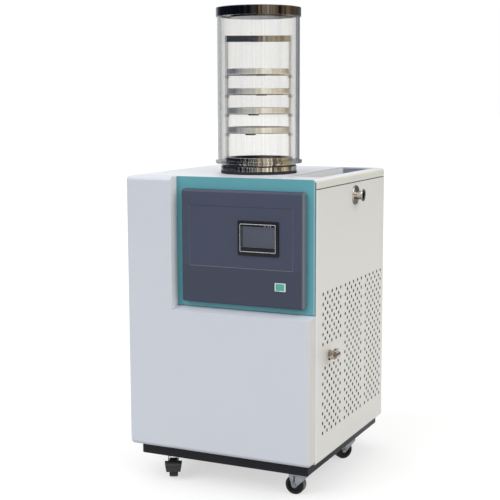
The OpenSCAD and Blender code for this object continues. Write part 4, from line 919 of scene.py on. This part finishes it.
floorPaint, tree, surface, out = newMaterial("paleFloor")
surface.inputs["Base Color"].default_value = [stageLook["floorColour"]]*3 + [1]
surface.inputs["Roughness"].default_value = 1.0
surface.inputs["Specular IOR Level"].default_value = 0.0
lift = put(tree, "Emission", {"Color": (1, 1, 1, 1),
                              "Strength": maths(tree, "MULTIPLY", plainlySeen(tree), stageLook["floorLift"])})
both = put(tree, "AddShader", {0: surface.outputs[0], 1: lift.outputs[0]})
tree.links.new(both.outputs[0], out.inputs["Surface"])
half = stageLook["half"]
stagePiece("floor", [(-half, -half, 0), (half, -half, 0), (half, half, 0), (-half, half, 0)], [(0, 1, 2, 3)],
           floorPaint)


def studioWalls(look):
    # a ring of wall far out, with windows and doors as upright bands, seen only in reflections
    count = look["sides"]
    ring = polygon(look["radius"], count)
    points = [(x, y, look["low"]) for x, y in ring] + [(x, y, look["high"]) for x, y in ring]
    faces = [(i, (i + 1) % count, count + (i + 1) % count, count + i) for i in range(count)]
    material, tree, surface, out = newMaterial("studioWalls")
    tree.nodes.remove(surface)
    where = axes(tree)
    turn = remap(tree, maths(tree, "ARCTAN2", where["Y"], where["X"]), (-math.pi, math.pi))
    ramp = put(tree, "ValToRGB", {"Fac": turn})
    stops = ramp.color_ramp.elements
    while len(stops) > 1:
        stops.remove(stops[0])
    for i, (degrees, colour) in enumerate(look["bands"]):
        at = (degrees + 180)/360
        stop = stops[0] if i == 0 else stops.new(at)
        stop.position = at
        stop.color = colour
    glow = put(tree, "Emission", {"Color": ramp.outputs["Color"], "Strength": look["strength"]})
    clear = put(tree, "BsdfTransparent", {"Color": (1, 1, 1, 1)})
    mirrored = maths(tree, "GREATER_THAN", put(tree, "LightPath").outputs["Glossy Depth"], 0.5)
    both = put(tree, "MixShader", {0: mirrored, 1: clear.outputs[0], 2: glow.outputs[0]})
    tree.links.new(both.outputs[0], out.inputs["Surface"])
    wall = stagePiece("studioWalls", points, faces, material)
    wall.visible_camera = False
    wall.visible_diffuse = False
    wall.visible_shadow = False
    wall.visible_volume_scatter = False


dark, navy, slate, steel = shade(60, 56, 54), shade(58, 64, 84), shade(84, 88, 100), shade(128, 132, 142)
grey, mist, brown, tan = shade(130, 133, 140), shade(212, 216, 216), shade(168, 152, 130), shade(208, 194, 170)
gold, pale = shade(232, 216, 184), shade(246, 244, 238)
studioWalls({"radius": 9.0, "low": 0.05, "high": 4.6, "sides": 96, "strength": 1.0, "bands": [
    (-180, slate), (-165, navy), (-150, slate), (-135, navy), (-118, navy), (-100, navy), (-84, slate), (-74, grey),
    (-60, tan), (-48, pale), (-38, pale), (-33, gold), (-28, pale), (-18, tan), (-10, dark), (-4, dark), (3, tan),
    (15, gold), (24, tan), (32, brown), (48, brown), (62, grey), (80, steel), (112, steel), (118, mist),
    (150, mist), (158, steel), (168, slate), (180, slate)]})

lamps = {
    "keyFront": {"from": (-0.9, -1.6, 1.5), "power": 1.35, "spread": 50, "colour": (0.97, 0.985, 1.0)},
    "keyRight": {"from": (1.7, -0.5, 1.2), "power": 1.1, "spread": 60, "colour": (1.0, 0.985, 0.96)},
    "fillRear": {"from": (-0.6, 1.6, 1.6), "power": 0.7, "spread": 70, "colour": (1, 1, 1)},
}
for name, lamp in lamps.items():
    data = bpy.data.lights.new(name, "SUN")
    data.energy = lamp["power"]
    data.angle = math.radians(lamp["spread"])
    data.color = lamp["colour"]
    light = bpy.data.objects.new(name, data)
    light.rotation_euler = (-Vector(lamp["from"])).to_track_quat("-Z", "Y").to_euler()
    scene.collection.objects.link(light)
print("stage and lamps made")
